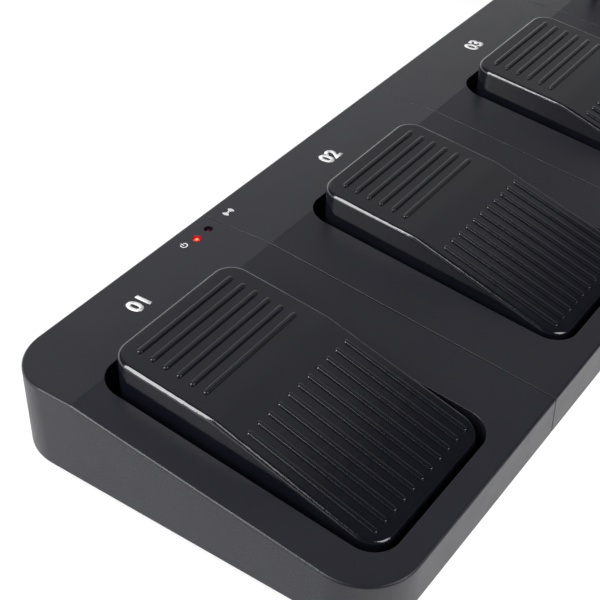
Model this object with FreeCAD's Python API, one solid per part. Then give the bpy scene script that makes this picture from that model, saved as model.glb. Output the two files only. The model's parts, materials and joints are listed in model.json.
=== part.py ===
import FreeCAD, Part
import math
import os

# A foot switch that stands on the floor: four treadle pedals side by side in one low, wedge-shaped casing.
# Millimetres. X runs along the row of pedals, +Y to the back and +Z up.
# The origin is under the middle of the casing, on the surface that the feet stand on.
# Places are given as x, back and height: back is the distance in front of the casing's back edge, and
# height is the height over the casing's lower rim.

# Casing
PEDAL_COUNT = 4
PITCH = 140.0               # from one pedal's middle to the next
END_REACH = 59.5            # from the last pedal's middle to the casing's end, at the rim
DEPTH = 180.0               # at the rim
CASE_HEIGHT = 36.0          # the level strip at the back
FRONT_HEIGHT = 18.0
STRIP_DEPTH = 39.0          # from the back edge to the crease where the deck starts to fall
END_LEAN = 2.4              # how far an end wall leans in over the casing's height
FACE_LEAN = 0.1             # how far the front and back walls lean in over the casing's height
CORNER_R = 23.0             # at the level strip
CORNER_SPREAD = 3.0         # by how much the corners are wider at the rim
CASE_WALL = 2.5
CASE_EDGE_R = 1.2
SEAM_GAP = 0.4
LIP_REACH = 3.0             # how far a cover's inner lip passes under the next cover
LIP_ROOT = 4.0
LIP_THICKNESS = 1.3
LIP_CLEARANCE = 0.25
SPARE = 8.0                 # by how much a cutting shape passes what it cuts
OVERLAP = 1.0               # by how much a small piece runs into the one it is joined to
ALIGNED = 0.9               # the least cosine at which a face or an edge counts as running one way
TOUCH = 0.01                # two levels nearer than this are the same

# Wells
WELL_HALF = 41.5
WELL_BACK = 36.0
WELL_RIM = 11.0             # from a well's front to the casing's front edge
WELL_FRONT = DEPTH - WELL_RIM
WELL_R = 12.0
WELL_EDGE_R = 0.3
TUB_WALL = 2.0
TUB_FLOOR = 2.0
TUB_FLOOR_HEIGHT = 5.0      # the upper face of the well's floor

# Base plate, screws and feet
PLATE_THICKNESS = 1.5
PLATE_HEIGHT = 1.0          # the plate's lower face, inside the rim
PLATE_CLEARANCE = 0.5
FOOT_HEIGHT = 3.0           # what the feet stand out below the rim
FOOT_R = 8.0
FOOT_EDGE = 1.0
FOOT_BACK = 17.0
FOOT_FRONT = DEPTH - FOOT_BACK
BOSS_R = 4.0
BOSS_BACK = 30.0
BOSS_INSET = 32.0           # from the front edge to the middle of a front boss
BOSS_FRONT = DEPTH - BOSS_INSET
BOSS_SIDE = 14.0            # from a seam to the middle of a boss
BOSS_END = 9.6              # from an end wall's foot to the middle of a boss
SCREW_R = 1.45
SCREW_HEAD_R = 2.9
SCREW_HEAD_HEIGHT = 1.7
SCREW_LENGTH = 12.0
SCREW_CLEARANCE = 0.05
PLATE_HOLE_SPARE = 0.3
RECESS_DEPTH = 1.0
RECESS_WIDTH = 0.9
RECESS_LENGTH = 3.2

# Pedal
PEDAL_GAP = 4.0             # from the tread to the well, at the sides and in front
PEDAL_BACK_GAP = 5.5
PEDAL_HALF = WELL_HALF - PEDAL_GAP
PEDAL_BACK = WELL_BACK + PEDAL_BACK_GAP
PEDAL_FRONT = WELL_FRONT - PEDAL_GAP
PEDAL_TOP = 48.7            # the tread's back edge
TREAD_FRONT = 19.15         # the tread's front edge
FLAT_ANGLE = 7.3
KINK_BACK = 92.4            # from here on the tread falls more steeply
KINK_R = 32.0
PEDAL_DRAFT = 1.3
PEDAL_R = 10.0
PEDAL_EDGE_R = 2.0
PEDAL_WALL = 2.5
SKIRT_BACK = 16.5           # the skirt's lower edge at the back
SKIRT_FRONT = 7.5           # and at the front
PRESS_ANGLE = 4.0
RIB_R = 1.2
RIB_RISE = 1.0
FLAT_RIBS = 6
FLAT_RIB_FIRST = 8.4        # from the tread's back edge
FLAT_RIB_PITCH = 6.42
FLAT_RIB_LENGTH = 58.0
SLOPE_RIBS = 11
SLOPE_RIB_PITCH = 6.3
SLOPE_RIB_BACK = 104.0
RIB_MARGIN = 4.2            # from the long ribs to the tread's front edge
SLOPE_RIB_FRONT = PEDAL_FRONT - RIB_MARGIN

# Hinge
HINGE_INSET = 8.0           # from the tread's front edge to the hinge axis
HINGE_BACK = PEDAL_FRONT - HINGE_INSET
HINGE_HEIGHT = 12.0
PIN_R = 2.0
PIN_CHAMFER = 0.4
PIN_CLEARANCE = 0.05
HINGE_EYE_R = 4.5
LUG_INNER = 19.0
LUG_THICKNESS = 4.0
EAR_GAP = 0.5
EAR_THICKNESS = 4.0
CLIP_THICKNESS = 0.8
CLIP_CLEARANCE = 0.1        # to each side of the groove
CLIP_R = 4.0
CLIP_GAP = 0.3
GROOVE_R = 1.5
GROOVE_CLEARANCE = 0.1
PIN_END = 2.2               # what the pin stands out past its clip

# Stop tab, bumpers and return spring
TAB_HALF = 5.0
TAB_THICKNESS = 3.0
TAB_RISE = 1.0              # over the skirt's back edge
TAB_REACH = 1.0             # past the outer face of the well's back wall
TAB_CLEARANCE = 0.3
TAB_SIDE_CLEARANCE = 1.0
BUMPER_X = 25.0
BUMPER_BACK = 60.0
BUMPER_R = 5.0
BUMPER_HEIGHT = 4.0
BUMPER_EDGE_R = 0.8
BUMPER_CLEARANCE = 0.3
STRIKER_R = 4.0
SPRING_BACK = 66.0
SPRING_MEAN_R = 5.4
SPRING_WIRE_R = 0.6
SPRING_TURNS = 7
SPRING_LENGTH = 22.0
SPRING_END_GAP = 0.06
PILOT_R = 4.0
PILOT_HEIGHT = 3.0
SPRING_CUP_R = 8.0

# Push switch under each pedal
SWITCH_REACH = 32.0         # from the hinge axis to the middle of the switch
SWITCH_BACK = HINGE_BACK - SWITCH_REACH
SWITCH_SIZE = 8.5
SWITCH_HEIGHT = 6.0
BUTTON_R = 1.6
BUTTON_HEAD_R = 3.2
BUTTON_HEAD = 1.0
BUTTON_STAND = 2.4          # the head's lower face over the switch, at rest
BUTTON_DEPTH = 2.4          # how much of the stem is in the switch, at rest
BUTTON_CLEARANCE = 0.05
BUTTON_GAP = 0.3            # from the head up to the pedal's finger
FINGER_R = 4.0
SWITCH_BOARD_HALF = 13.5
SWITCH_BOARD_LENGTH = 24.0
BOARD_THICKNESS = 1.6
STANDOFF_HEIGHT = 2.0
STANDOFF_R = 2.8
STANDOFF_INSET = 3.5
SMALL_SCREW_R = 1.1
SMALL_HEAD_R = 2.1
SMALL_HEAD_HEIGHT = 1.3
SMALL_SCREW_LENGTH = 5.0

# Leads
LEAD_R = 1.0
LEAD_X = 10.0               # from the pedal's middle
LEAD_BEND_R = 5.0
LEAD_FLOOR_GAP = 0.3
LEAD_HOLE_R = 1.6
LANE_FIRST = 23.0
LANE_PITCH = 2.2
PLUG_WIDTH = 6.0
PLUG_DEPTH = 5.0
PLUG_HEIGHT = 4.6
SWITCH_PLUG_HEIGHT = 4.0
BOARD_PLUG_PITCH = 12.0
BATTERY_PLUG_X = 28.0

# Main board, hung under the strip of the first module, placed from the first pedal's middle
BOARD_LEFT = 5.0
BOARD_RIGHT = 66.0
BOARD_BACK = 4.2
BOARD_FRONT = 25.6
BOARD_DROP = 11.0           # from the level strip down to the board
BOARD_TOP = CASE_HEIGHT - BOARD_DROP
BOARD_POSTS = [(8.6, 7.2), (47.5, 7.2), (16.0, 22.0), (58.0, 22.0)]     # x and back of each
BOARD_POST_R = 2.8
CHIP_LEFT = 46.0
CHIP_RIGHT = 55.0
CHIP_BACK = 14.5
CHIP_FRONT = 19.5
CHIP_RISE = 1.6
RADIO_LEFT = 21.0
RADIO_RIGHT = 42.0
RADIO_BACK = 8.0
RADIO_FRONT = 19.0
RADIO_STAND = 2.5
RADIO_BOARD = 1.0
RADIO_CAN = 2.2
RADIO_CAN_INSET = 1.6
HEADER_WIDTH = 2.5
ANTENNA_LENGTH = 165.0
ANTENNA_R = 0.6
ANTENNA_BACK = 14.6

# Lamps
LAMP_BACK = 9.7
POWER_LAMP_X = 54.6
SEND_LAMP_X = 63.0
LAMP_R = 1.5
LAMP_FLANGE_R = 1.9
LAMP_FLANGE = 1.0
LAMP_BODY = 5.3
LAMP_RECESS = 0.6
LAMP_HOLE_R = 2.15
LAMP_LEG_R = 0.3
LAMP_LEG_PITCH = 1.27

# Power inlet and power switch, under the main board, facing the back wall
INLET_X = 58.0
INLET_WIDTH = 9.0
INLET_HEIGHT = 11.0
INLET_LENGTH = 13.0
INLET_NOSE_R = 3.9
INLET_BORE_R = 3.0
INLET_BORE_DEPTH = 9.5
INLET_PIN_R = 1.05
INLET_PIN_SETBACK = 1.0     # from the inlet's mouth to the tip of its pin
INLET_SETBACK = 0.4
INLET_HOLE_SPARE = 0.3
SLIDER_X = 38.0
SLIDER_WIDTH = 9.0
SLIDER_DEPTH = 4.6
SLIDER_HEIGHT = 4.8
SLIDER_WALL = 0.7
KNOB_WIDTH = 3.0
KNOB_HEIGHT = 2.4
KNOB_CLEARANCE = 0.25
KNOB_GROOVE_R = 0.2         # the finger grooves in its end
KNOB_GROOVE_PITCH = 0.85
KNOB_TRAVEL = 3.0
KNOB_SETBACK = 0.5
KNOB_SLOT_SPARE = 0.7

# Battery bay, in the base between the last two wells
BAY_HALF = 14.0
BAY_BACK = 41.5
BAY_LENGTH = 70.0
BAY_HEIGHT = 18.0
BAY_WALL = 1.5
BAY_FLANGE = 5.0
BAY_FLANGE_THICKNESS = 1.5
BAY_BOSS_R = 3.2
BAY_BOSS_REACH = 2.7        # from the bay's end wall to the middle of a door boss
DOOR_CLEARANCE = 0.3
BATTERY_HALF = 13.2
BATTERY_LENGTH = 46.0
BATTERY_HEIGHT = 17.0
BATTERY_EDGE_R = 1.5
BATTERY_GAP = 0.4
TERMINAL_R = 3.2
TERMINAL_LENGTH = 2.6
TERMINAL_X = 6.4
SNAP_THICKNESS = 3.0
SNAP_HALF = 12.5
SNAP_HEIGHT = 12.0
SNAP_LEAD_X = 8.0

# Sizes that follow from those above
HALF_LENGTH = PITCH * (PEDAL_COUNT - 1) / 2 + END_REACH
DECK_SLOPE = (CASE_HEIGHT - FRONT_HEIGHT) / (DEPTH - STRIP_DEPTH)
KINK_HEIGHT = PEDAL_TOP - (KINK_BACK - PEDAL_BACK) * math.tan(math.radians(FLAT_ANGLE))
SLOPE_ANGLE = math.degrees(math.atan2(KINK_HEIGHT - TREAD_FRONT, PEDAL_FRONT - KINK_BACK))
PLATE_TOP = PLATE_HEIGHT + PLATE_THICKNESS
SWITCH_BOARD_TOP = TUB_FLOOR_HEIGHT + STANDOFF_HEIGHT + BOARD_THICKNESS
SWITCH_TOP = SWITCH_BOARD_TOP + SWITCH_HEIGHT
BUTTON_TOP = SWITCH_TOP + BUTTON_STAND + BUTTON_HEAD
LEAD_HEIGHT = TUB_FLOOR_HEIGHT + LEAD_FLOOR_GAP + LEAD_R
EAR_INNER = LUG_INNER + LUG_THICKNESS + EAR_GAP
CLIP_INNER = EAR_INNER + EAR_THICKNESS + CLIP_GAP
BOARD_UNDER = BOARD_TOP - BOARD_THICKNESS
BAY_X = PITCH * (PEDAL_COUNT / 2 - 1)            # the last seam
BAY_FRONT = BAY_BACK + BAY_LENGTH
SCREW_HOLE_R = SCREW_R + SCREW_CLEARANCE
SMALL_HOLE_R = SMALL_SCREW_R + SCREW_CLEARANCE


def pedal_x(index):
    """The middle of one pedal, counted from 0 at the left."""
    return (index - (PEDAL_COUNT - 1) / 2) * PITCH


def place(x, back, height):
    """A point of the part's frame."""
    return FreeCAD.Vector(x, DEPTH / 2 - back, FOOT_HEIGHT + height)


def block(x0, x1, back0, back1, low, high):
    """A square block between two corners."""
    return Part.makeBox(x1 - x0, back1 - back0, high - low, place(x0, back1, low))


def post(x, back, low, high, radius):
    """An upright round post or hole."""
    return Part.makeCylinder(radius, high - low, place(x, back, low))


def axle(x0, x1, back, height, radius):
    """A round bar along the row."""
    return Part.makeCylinder(radius, x1 - x0, place(x0, back, height), FreeCAD.Vector(1, 0, 0))


def barrel(x, back0, back1, height, radius):
    """A round bar from back to front."""
    return Part.makeCylinder(radius, back1 - back0, place(x, back1, height), FreeCAD.Vector(0, 1, 0))


def fuse_all(first, others):
    """One solid from touching or overlapping ones."""
    return first.multiFuse(others).removeSplitter()


def rounded_wire(x0, x1, back0, back1, radius, height):
    """A level rectangle with round corners."""
    turn = radius * (1 - math.sqrt(0.5))
    corners = [(x1, back1, -1, -1), (x1, back0, -1, 1), (x0, back0, 1, 1), (x0, back1, 1, -1)]
    arcs = []
    for step, (x, back, inx, inb) in enumerate(corners):
        ends = [place(x + inx * radius, back, height), place(x, back + inb * radius, height)]
        if step % 2:
            ends.reverse()
        middle = place(x + inx * turn, back + inb * turn, height)
        arcs.append(Part.Arc(ends[0], middle, ends[1]))
    edges = []
    for step, arc in enumerate(arcs):
        edges.append(arc.toShape())
        edges.append(Part.LineSegment(arc.EndPoint, arcs[(step + 1) % 4].StartPoint).toShape())
    return Part.Wire(edges)


def rounded_prism(x0, x1, back0, back1, radius, low, high):
    """An upright prism on a rectangle with round corners."""
    face = Part.Face(rounded_wire(x0, x1, back0, back1, radius, low))
    return face.extrude(FreeCAD.Vector(0, 0, high - low))


def profile_prism(points, x0, x1):
    """A prism along the row, from a closed outline of (back, height) points."""
    corners = [place(x0, back, height) for back, height in points]
    return Part.Face(Part.makePolygon(corners + corners[:1])).extrude(FreeCAD.Vector(x1 - x0, 0, 0))


def upward_edges(shape):
    """The edges of the upward faces of a shape, each with the number of these faces that it borders."""
    found = {}
    for face in shape.Faces:
        u0, u1, v0, v1 = face.ParameterRange
        if face.normalAt((u0 + u1) / 2, (v0 + v1) / 2).z > ALIGNED:
            for edge in face.Edges:
                faces = found.get(edge.hashCode(), (edge, 0))[1]
                found[edge.hashCode()] = (edge, faces + 1)
    return list(found.values())


def rim_edges(shape, inside=None):
    """The edges round the upward faces of a shape, or only those whose middle is inside a box."""
    rim = [edge for edge, faces in upward_edges(shape) if faces == 1]
    if inside:
        rim = [edge for edge in rim if inside.isInside(edge.BoundBox.Center)]
    return rim


def deck_height(back, drop=0.0):
    """The height of the casing's sloping deck, or of a surface that lies that much under it."""
    return CASE_HEIGHT - drop * math.hypot(1, DECK_SLOPE) - (back - STRIP_DEPTH) * DECK_SLOPE


def casing_outline(height, inset):
    """The casing's outline at one height, moved in by the inset."""
    lean = height / CASE_HEIGHT
    half = HALF_LENGTH - END_LEAN * lean - inset
    side = FACE_LEAN * lean + inset
    radius = CORNER_R + CORNER_SPREAD * (1 - lean) - inset
    return rounded_wire(-half, half, side, DEPTH - side, radius, height)


def casing_block(inset, drop, low):
    """The space within the casing's walls and under its roof, both moved in."""
    crease = STRIP_DEPTH - drop * (math.hypot(1, DECK_SLOPE) - 1) / DECK_SLOPE
    far = DEPTH + SPARE
    roof = [(-SPARE, -2 * SPARE), (-SPARE, CASE_HEIGHT - drop), (crease, CASE_HEIGHT - drop),
            (far, deck_height(far, drop)), (far, -2 * SPARE)]
    sides = Part.makeLoft([casing_outline(low, inset), casing_outline(CASE_HEIGHT + SPARE, inset)], True, True)
    return sides.common(profile_prism(roof, -HALF_LENGTH - SPARE, HALF_LENGTH + SPARE))


def module_span(index):
    """The two ends of one cover along the row."""
    left = pedal_x(index) - PITCH / 2 + SEAM_GAP / 2
    right = pedal_x(index) + PITCH / 2 - SEAM_GAP / 2
    if index == 0:
        left = -HALF_LENGTH - SPARE
    if index == PEDAL_COUNT - 1:
        right = HALF_LENGTH + SPARE
    return left, right


def boss_places(index):
    """The screw bosses of one cover."""
    left = pedal_x(index) - PITCH / 2 + BOSS_SIDE
    right = pedal_x(index) + PITCH / 2 - BOSS_SIDE
    if index == 0:
        left = -HALF_LENGTH + BOSS_END
    if index == PEDAL_COUNT - 1:
        right = HALF_LENGTH - BOSS_END
    return [(x, back) for x in (left, right) for back in (BOSS_BACK, BOSS_FRONT)]


def seam_lip(seam):
    """The lip inside a cover's right edge, which passes under the next cover."""
    low = PLATE_TOP + PLATE_CLEARANCE
    depth = CASE_WALL + LIP_CLEARANCE
    core = casing_block(depth + LIP_THICKNESS, depth + LIP_THICKNESS, -SPARE)
    ring = casing_block(depth, depth, low).cut(core)
    root = casing_block(CASE_WALL / 2, CASE_WALL / 2, low).cut(core)
    reach = block(seam - LIP_ROOT, seam + LIP_REACH, -SPARE, DEPTH + SPARE, -SPARE, CASE_HEIGHT)
    hold = block(seam - LIP_ROOT, seam - SEAM_GAP / 2, -SPARE, DEPTH + SPARE, -SPARE, CASE_HEIGHT)
    return [ring.common(reach), root.common(hold)]


def well_block(middle, grow, low):
    """The space of one well, or the outside of its tub."""
    return rounded_prism(middle - WELL_HALF - grow, middle + WELL_HALF + grow, WELL_BACK - grow,
                         WELL_FRONT + grow, WELL_R + grow, low, CASE_HEIGHT + SPARE)


def hinge_eye(x0, x1, low, high):
    """A flat eye round the hinge axis, with its stem up or down."""
    stem = block(x0, x1, HINGE_BACK - HINGE_EYE_R, HINGE_BACK + HINGE_EYE_R, low, high)
    return axle(x0, x1, HINGE_BACK, HINGE_HEIGHT, HINGE_EYE_R).fuse(stem)


def pin_hole(middle):
    """The running hole of the hinge pin."""
    reach = CLIP_INNER + PIN_END
    return axle(middle - reach, middle + reach, HINGE_BACK, HINGE_HEIGHT, PIN_R + PIN_CLEARANCE)


def standoff_places(middle):
    """The four standoffs of one switch board. The first two carry its screws."""
    x = SWITCH_BOARD_HALF - STANDOFF_INSET
    step = SWITCH_BOARD_LENGTH / 2 - STANDOFF_INSET
    return [(middle - x, SWITCH_BACK - step), (middle + x, SWITCH_BACK + step),
            (middle - x, SWITCH_BACK + step), (middle + x, SWITCH_BACK - step)]


def lever(back):
    """How far a point under the tread sinks when the pedal is pressed all the way."""
    return (HINGE_BACK - back) * math.sin(math.radians(PRESS_ANGLE))


def well_fittings(middle):
    """What stands up from the floor of one well."""
    root = TUB_FLOOR_HEIGHT - TUB_FLOOR / 2
    ears = [hinge_eye(middle + x, middle + x + EAR_THICKNESS, root, HINGE_HEIGHT)
            for x in (EAR_INNER, -EAR_INNER - EAR_THICKNESS)]
    standoffs = [post(x, back, root, TUB_FLOOR_HEIGHT + STANDOFF_HEIGHT, STANDOFF_R)
                 for x, back in standoff_places(middle)]
    pilot = post(middle, SPRING_BACK, root, TUB_FLOOR_HEIGHT + PILOT_HEIGHT, PILOT_R)
    return ears + standoffs + [pilot]


def well_holes(middle):
    """The holes in one tub: hinge, board screws, stop tab and lead."""
    tab_low = SKIRT_BACK + TAB_RISE
    wall = (WELL_BACK - TUB_WALL - TAB_REACH, WELL_BACK + TAB_REACH)
    slot_low = tab_low - lever(WELL_BACK - TUB_WALL) - TAB_SIDE_CLEARANCE
    half = TAB_HALF + TAB_SIDE_CLEARANCE
    slot = block(middle - half, middle + half, wall[0], wall[1], slot_low,
                 tab_low + TAB_THICKNESS + TAB_CLEARANCE)
    lead = barrel(middle + LEAD_X, wall[0], wall[1], LEAD_HEIGHT, LEAD_HOLE_R)
    top = TUB_FLOOR_HEIGHT + STANDOFF_HEIGHT
    pilots = [post(x, back, SWITCH_BOARD_TOP - SMALL_SCREW_LENGTH, top, SMALL_HOLE_R)
              for x, back in standoff_places(middle)[:2]]
    return [pin_hole(middle), slot, lead] + pilots


def board_posts():
    """The posts that carry the main board, in the part's frame."""
    return [(pedal_x(0) + x, back) for x, back in BOARD_POSTS]


def rear_holes():
    """The openings of the lamps, the power inlet and the power switch in the first cover."""
    left = pedal_x(0)
    lamps = [post(left + x, LAMP_BACK, CASE_HEIGHT - CASE_WALL - SPARE, CASE_HEIGHT + SPARE, LAMP_HOLE_R)
             for x in (POWER_LAMP_X, SEND_LAMP_X)]
    inlet = barrel(left + INLET_X, -SPARE, CASE_WALL + FACE_LEAN, BOARD_UNDER - INLET_HEIGHT / 2,
                   INLET_NOSE_R + INLET_HOLE_SPARE)
    half = (KNOB_WIDTH + KNOB_TRAVEL) / 2 + KNOB_SLOT_SPARE
    rise = KNOB_HEIGHT / 2 + KNOB_SLOT_SPARE
    middle = BOARD_UNDER - SLIDER_HEIGHT / 2
    slot = block(left + SLIDER_X - half, left + SLIDER_X + half, -SPARE, CASE_WALL + FACE_LEAN,
                 middle - rise, middle + rise)
    return lamps + [inlet, slot]


def cover(index, outer, inner):
    """One moulded cover: roof, outer walls, well and bosses in a single piece."""
    middle = pedal_x(index)
    left, right = module_span(index)
    span = block(left, right, -SPARE, DEPTH + SPARE, -SPARE, CASE_HEIGHT + SPARE)
    inside = outer.common(span)
    tub = well_block(middle, TUB_WALL, TUB_FLOOR_HEIGHT - TUB_FLOOR).common(inside)
    bosses = [post(x, back, PLATE_TOP, CASE_HEIGHT, BOSS_R).common(inside) for x, back in boss_places(index)]
    if index == 0:
        bosses += [post(x, back, BOARD_TOP, CASE_HEIGHT - CASE_WALL / 2, BOARD_POST_R)
                   for x, back in board_posts()]
    shell = fuse_all(inside.cut(inner), [tub] + bosses)
    shell = shell.cut(well_block(middle, 0, TUB_FLOOR_HEIGHT))
    mouth = block(middle - WELL_HALF - OVERLAP, middle + WELL_HALF + OVERLAP, WELL_BACK - OVERLAP,
                  WELL_FRONT + OVERLAP, FRONT_HEIGHT / 2, CASE_HEIGHT + OVERLAP)
    shell = shell.makeFillet(WELL_EDGE_R, rim_edges(shell, mouth.BoundBox))
    extras = well_fittings(middle)
    if index < PEDAL_COUNT - 1:
        extras += seam_lip(middle + PITCH / 2)
    shell = fuse_all(shell, extras)
    holes = well_holes(middle)
    holes += [post(x, back, PLATE_TOP - OVERLAP, PLATE_HEIGHT + SCREW_LENGTH, SCREW_HOLE_R)
              for x, back in boss_places(index)]
    if index == 0:
        holes += rear_holes()
        holes += [post(x, back, BOARD_TOP - OVERLAP, BOARD_UNDER + SMALL_SCREW_LENGTH, SMALL_HOLE_R)
                  for x, back in board_posts()]
    return shell.cut(holes)


def tread_height(back):
    """The height of the pedal's tread, before its kink is rounded."""
    flat = math.tan(math.radians(FLAT_ANGLE))
    slope = math.tan(math.radians(SLOPE_ANGLE))
    return PEDAL_TOP - (min(back, KINK_BACK) - PEDAL_BACK) * flat - max(back - KINK_BACK, 0) * slope


def pedal_outline(height, inset):
    """The pedal's outline at one height, moved in by the inset."""
    lean = (PEDAL_TOP - height) * math.tan(math.radians(PEDAL_DRAFT)) - inset
    half = PEDAL_HALF + lean
    return rounded_wire(-half, half, PEDAL_BACK - lean, PEDAL_FRONT + lean, PEDAL_R - inset, height)


def tread_prism(drop, skirt_back, skirt_front):
    """The space under the tread, with the kink rounded, down to a sloping lower edge."""
    flat = math.radians(FLAT_ANGLE)
    slope = math.radians(SLOPE_ANGLE)
    reach = (KINK_R - drop) * math.tan((slope - flat) / 2)
    bulge = (KINK_R - drop) * (1 / math.cos((slope - flat) / 2) - 1)
    lean = (flat + slope) / 2
    kink = (KINK_BACK - drop * math.sin(lean), tread_height(KINK_BACK) - drop / math.cos((slope - flat) / 2))
    near = (kink[0] - reach * math.cos(flat), kink[1] + reach * math.sin(flat))
    far = (kink[0] + reach * math.cos(slope), kink[1] - reach * math.sin(slope))
    middle = (kink[0] - bulge * math.sin(lean), kink[1] - bulge * math.cos(lean))
    start = -SPARE + PEDAL_BACK
    end = PEDAL_FRONT + SPARE
    rise = (skirt_back - skirt_front) / (PEDAL_FRONT - PEDAL_BACK)
    run = [(end, far[1] - (end - far[0]) * math.tan(slope)), (end, skirt_front - SPARE * rise),
           (start, skirt_back + SPARE * rise), (start, near[1] + (near[0] - start) * math.tan(flat)), near]
    x0 = -PEDAL_HALF - SPARE
    corners = [place(x0, back, height) for back, height in [far] + run]
    edges = [Part.LineSegment(a, b).toShape() for a, b in zip(corners, corners[1:])]
    edges.append(Part.Arc(corners[-1], place(x0, middle[0], middle[1]), corners[0]).toShape())
    return Part.Face(Part.Wire(edges)).extrude(FreeCAD.Vector(-2 * x0, 0, 0))


def pedal_block(inset, skirt_back, skirt_front):
    """The pedal's solid outside, or the space within its walls."""
    sides = Part.makeLoft([pedal_outline(-SPARE, inset), pedal_outline(PEDAL_TOP + SPARE, inset)], True, True)
    return sides.common(tread_prism(inset, skirt_back, skirt_front))


def capsule(start, end, radius):
    """A round bar with round ends between the middles of the two ends."""
    bar = Part.makeCylinder(radius, (end - start).Length, start, end - start)
    return bar.multiFuse([Part.makeSphere(radius, start), Part.makeSphere(radius, end)]).removeSplitter()


def tread_ribs():
    """The cross ribs of the flat and the long ribs of the slope."""
    sink = RIB_R - RIB_RISE
    ribs = []
    for step in range(FLAT_RIBS):
        back = PEDAL_BACK + FLAT_RIB_FIRST + step * FLAT_RIB_PITCH
        x = FLAT_RIB_LENGTH / 2 - RIB_R
        height = tread_height(back) - sink
        ribs.append(capsule(place(-x, back, height), place(x, back, height), RIB_R))
    for step in range(SLOPE_RIBS):
        x = (step - (SLOPE_RIBS - 1) / 2) * SLOPE_RIB_PITCH
        ends = [place(x, back, tread_height(back) - sink)
                for back in (SLOPE_RIB_BACK + RIB_R, SLOPE_RIB_FRONT - RIB_R)]
        ribs.append(capsule(ends[0], ends[1], RIB_R))
    return ribs


def pedal():
    """One hollow treadle pedal about x = 0, with what hangs inside it."""
    outer = pedal_block(0, SKIRT_BACK, SKIRT_FRONT)
    inner = pedal_block(PEDAL_WALL, -SPARE, -SPARE)
    bulk = pedal_block(PEDAL_WALL / 2, SKIRT_BACK - SPARE, SKIRT_FRONT - SPARE)
    shell = outer.makeFillet(PEDAL_EDGE_R, rim_edges(outer)).cut(inner)
    cup = TUB_FLOOR_HEIGHT + SPRING_LENGTH
    striker = TUB_FLOOR_HEIGHT + BUMPER_HEIGHT + lever(BUMPER_BACK) + BUMPER_CLEARANCE
    tab = SKIRT_BACK + TAB_RISE
    inside = [hinge_eye(x, x + LUG_THICKNESS, HINGE_HEIGHT, PEDAL_TOP)
              for x in (LUG_INNER, -LUG_INNER - LUG_THICKNESS)]
    inside += [post(x, BUMPER_BACK, striker, PEDAL_TOP, STRIKER_R) for x in (-BUMPER_X, BUMPER_X)]
    inside.append(post(0, SPRING_BACK, cup, PEDAL_TOP, SPRING_CUP_R))
    inside.append(post(0, SPRING_BACK, cup - PILOT_HEIGHT, PEDAL_TOP, PILOT_R))
    inside.append(post(0, SWITCH_BACK, BUTTON_TOP + BUTTON_GAP, PEDAL_TOP, FINGER_R))
    inside = [piece.common(bulk) for piece in inside]
    inside.append(block(-TAB_HALF, TAB_HALF, WELL_BACK - TUB_WALL - TAB_REACH, PEDAL_BACK + PEDAL_WALL / 2,
                        tab, tab + TAB_THICKNESS))
    return fuse_all(shell, inside + tread_ribs()).cut(pin_hole(0))


def hinge_pin(middle):
    """The steel pin of one pedal, grooved for its two clips."""
    reach = CLIP_INNER + CLIP_THICKNESS + PIN_END
    pin = axle(middle - reach, middle + reach, HINGE_BACK, HINGE_HEIGHT, PIN_R)
    pin = pin.makeChamfer(PIN_CHAMFER, [edge for edge in pin.Edges if edge.Closed])
    for x in (CLIP_INNER, -CLIP_INNER - CLIP_THICKNESS):
        ring = axle(middle + x, middle + x + CLIP_THICKNESS, HINGE_BACK, HINGE_HEIGHT, PIN_R + OVERLAP)
        core = axle(middle + x, middle + x + CLIP_THICKNESS, HINGE_BACK, HINGE_HEIGHT, GROOVE_R)
        pin = pin.cut(ring.cut(core))
    return pin


def pin_clips(middle):
    """The two open spring clips on one pin."""
    clips = []
    for x in (CLIP_INNER, -CLIP_INNER - CLIP_THICKNESS):
        x0, x1 = middle + x + CLIP_CLEARANCE, middle + x + CLIP_THICKNESS - CLIP_CLEARANCE
        clip = axle(x0, x1, HINGE_BACK, HINGE_HEIGHT, CLIP_R)
        mouth = block(x0, x1, HINGE_BACK - GROOVE_R, HINGE_BACK + GROOVE_R,
                      HINGE_HEIGHT - 2 * CLIP_R, HINGE_HEIGHT)
        clips.append(clip.cut([axle(x0, x1, HINGE_BACK, HINGE_HEIGHT, GROOVE_R + GROOVE_CLEARANCE), mouth]))
    return Part.makeCompound(clips)


def biarc(start, start_way, end, end_way):
    """Two arcs that leave start along one way, meet smoothly and reach end along the other."""
    chord = end - start
    ways = start_way + end_way
    turn = 2 * (1 - start_way.dot(end_way))
    across = chord.dot(ways)
    reach = (math.sqrt(across ** 2 + turn * chord.dot(chord)) - across) / turn
    near = start + start_way * reach
    far = end - end_way * reach
    joint = (near + far) * 0.5
    arcs = []
    for a, peak, b in ((start, near, joint), (joint, far, end)):
        half = (b - a).Length / 2
        angle = math.acos(min(half / reach, 1))
        base = (a + b) * 0.5
        arcs.append(Part.Arc(a, base + (peak - base) * (math.tan(angle / 2) / math.tan(angle)), b))
    return arcs


def coil_point(middle, angle, low, high):
    """A point on the middle line of the return spring, and the way the wire runs there."""
    full = 2 * math.pi * SPRING_TURNS
    rise = (high - low) / full
    point = place(middle + SPRING_MEAN_R * math.cos(angle), SPRING_BACK - SPRING_MEAN_R * math.sin(angle),
                  low + rise * angle)
    way = FreeCAD.Vector(-SPRING_MEAN_R * math.sin(angle), SPRING_MEAN_R * math.cos(angle), rise)
    return point, way.normalize()


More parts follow.
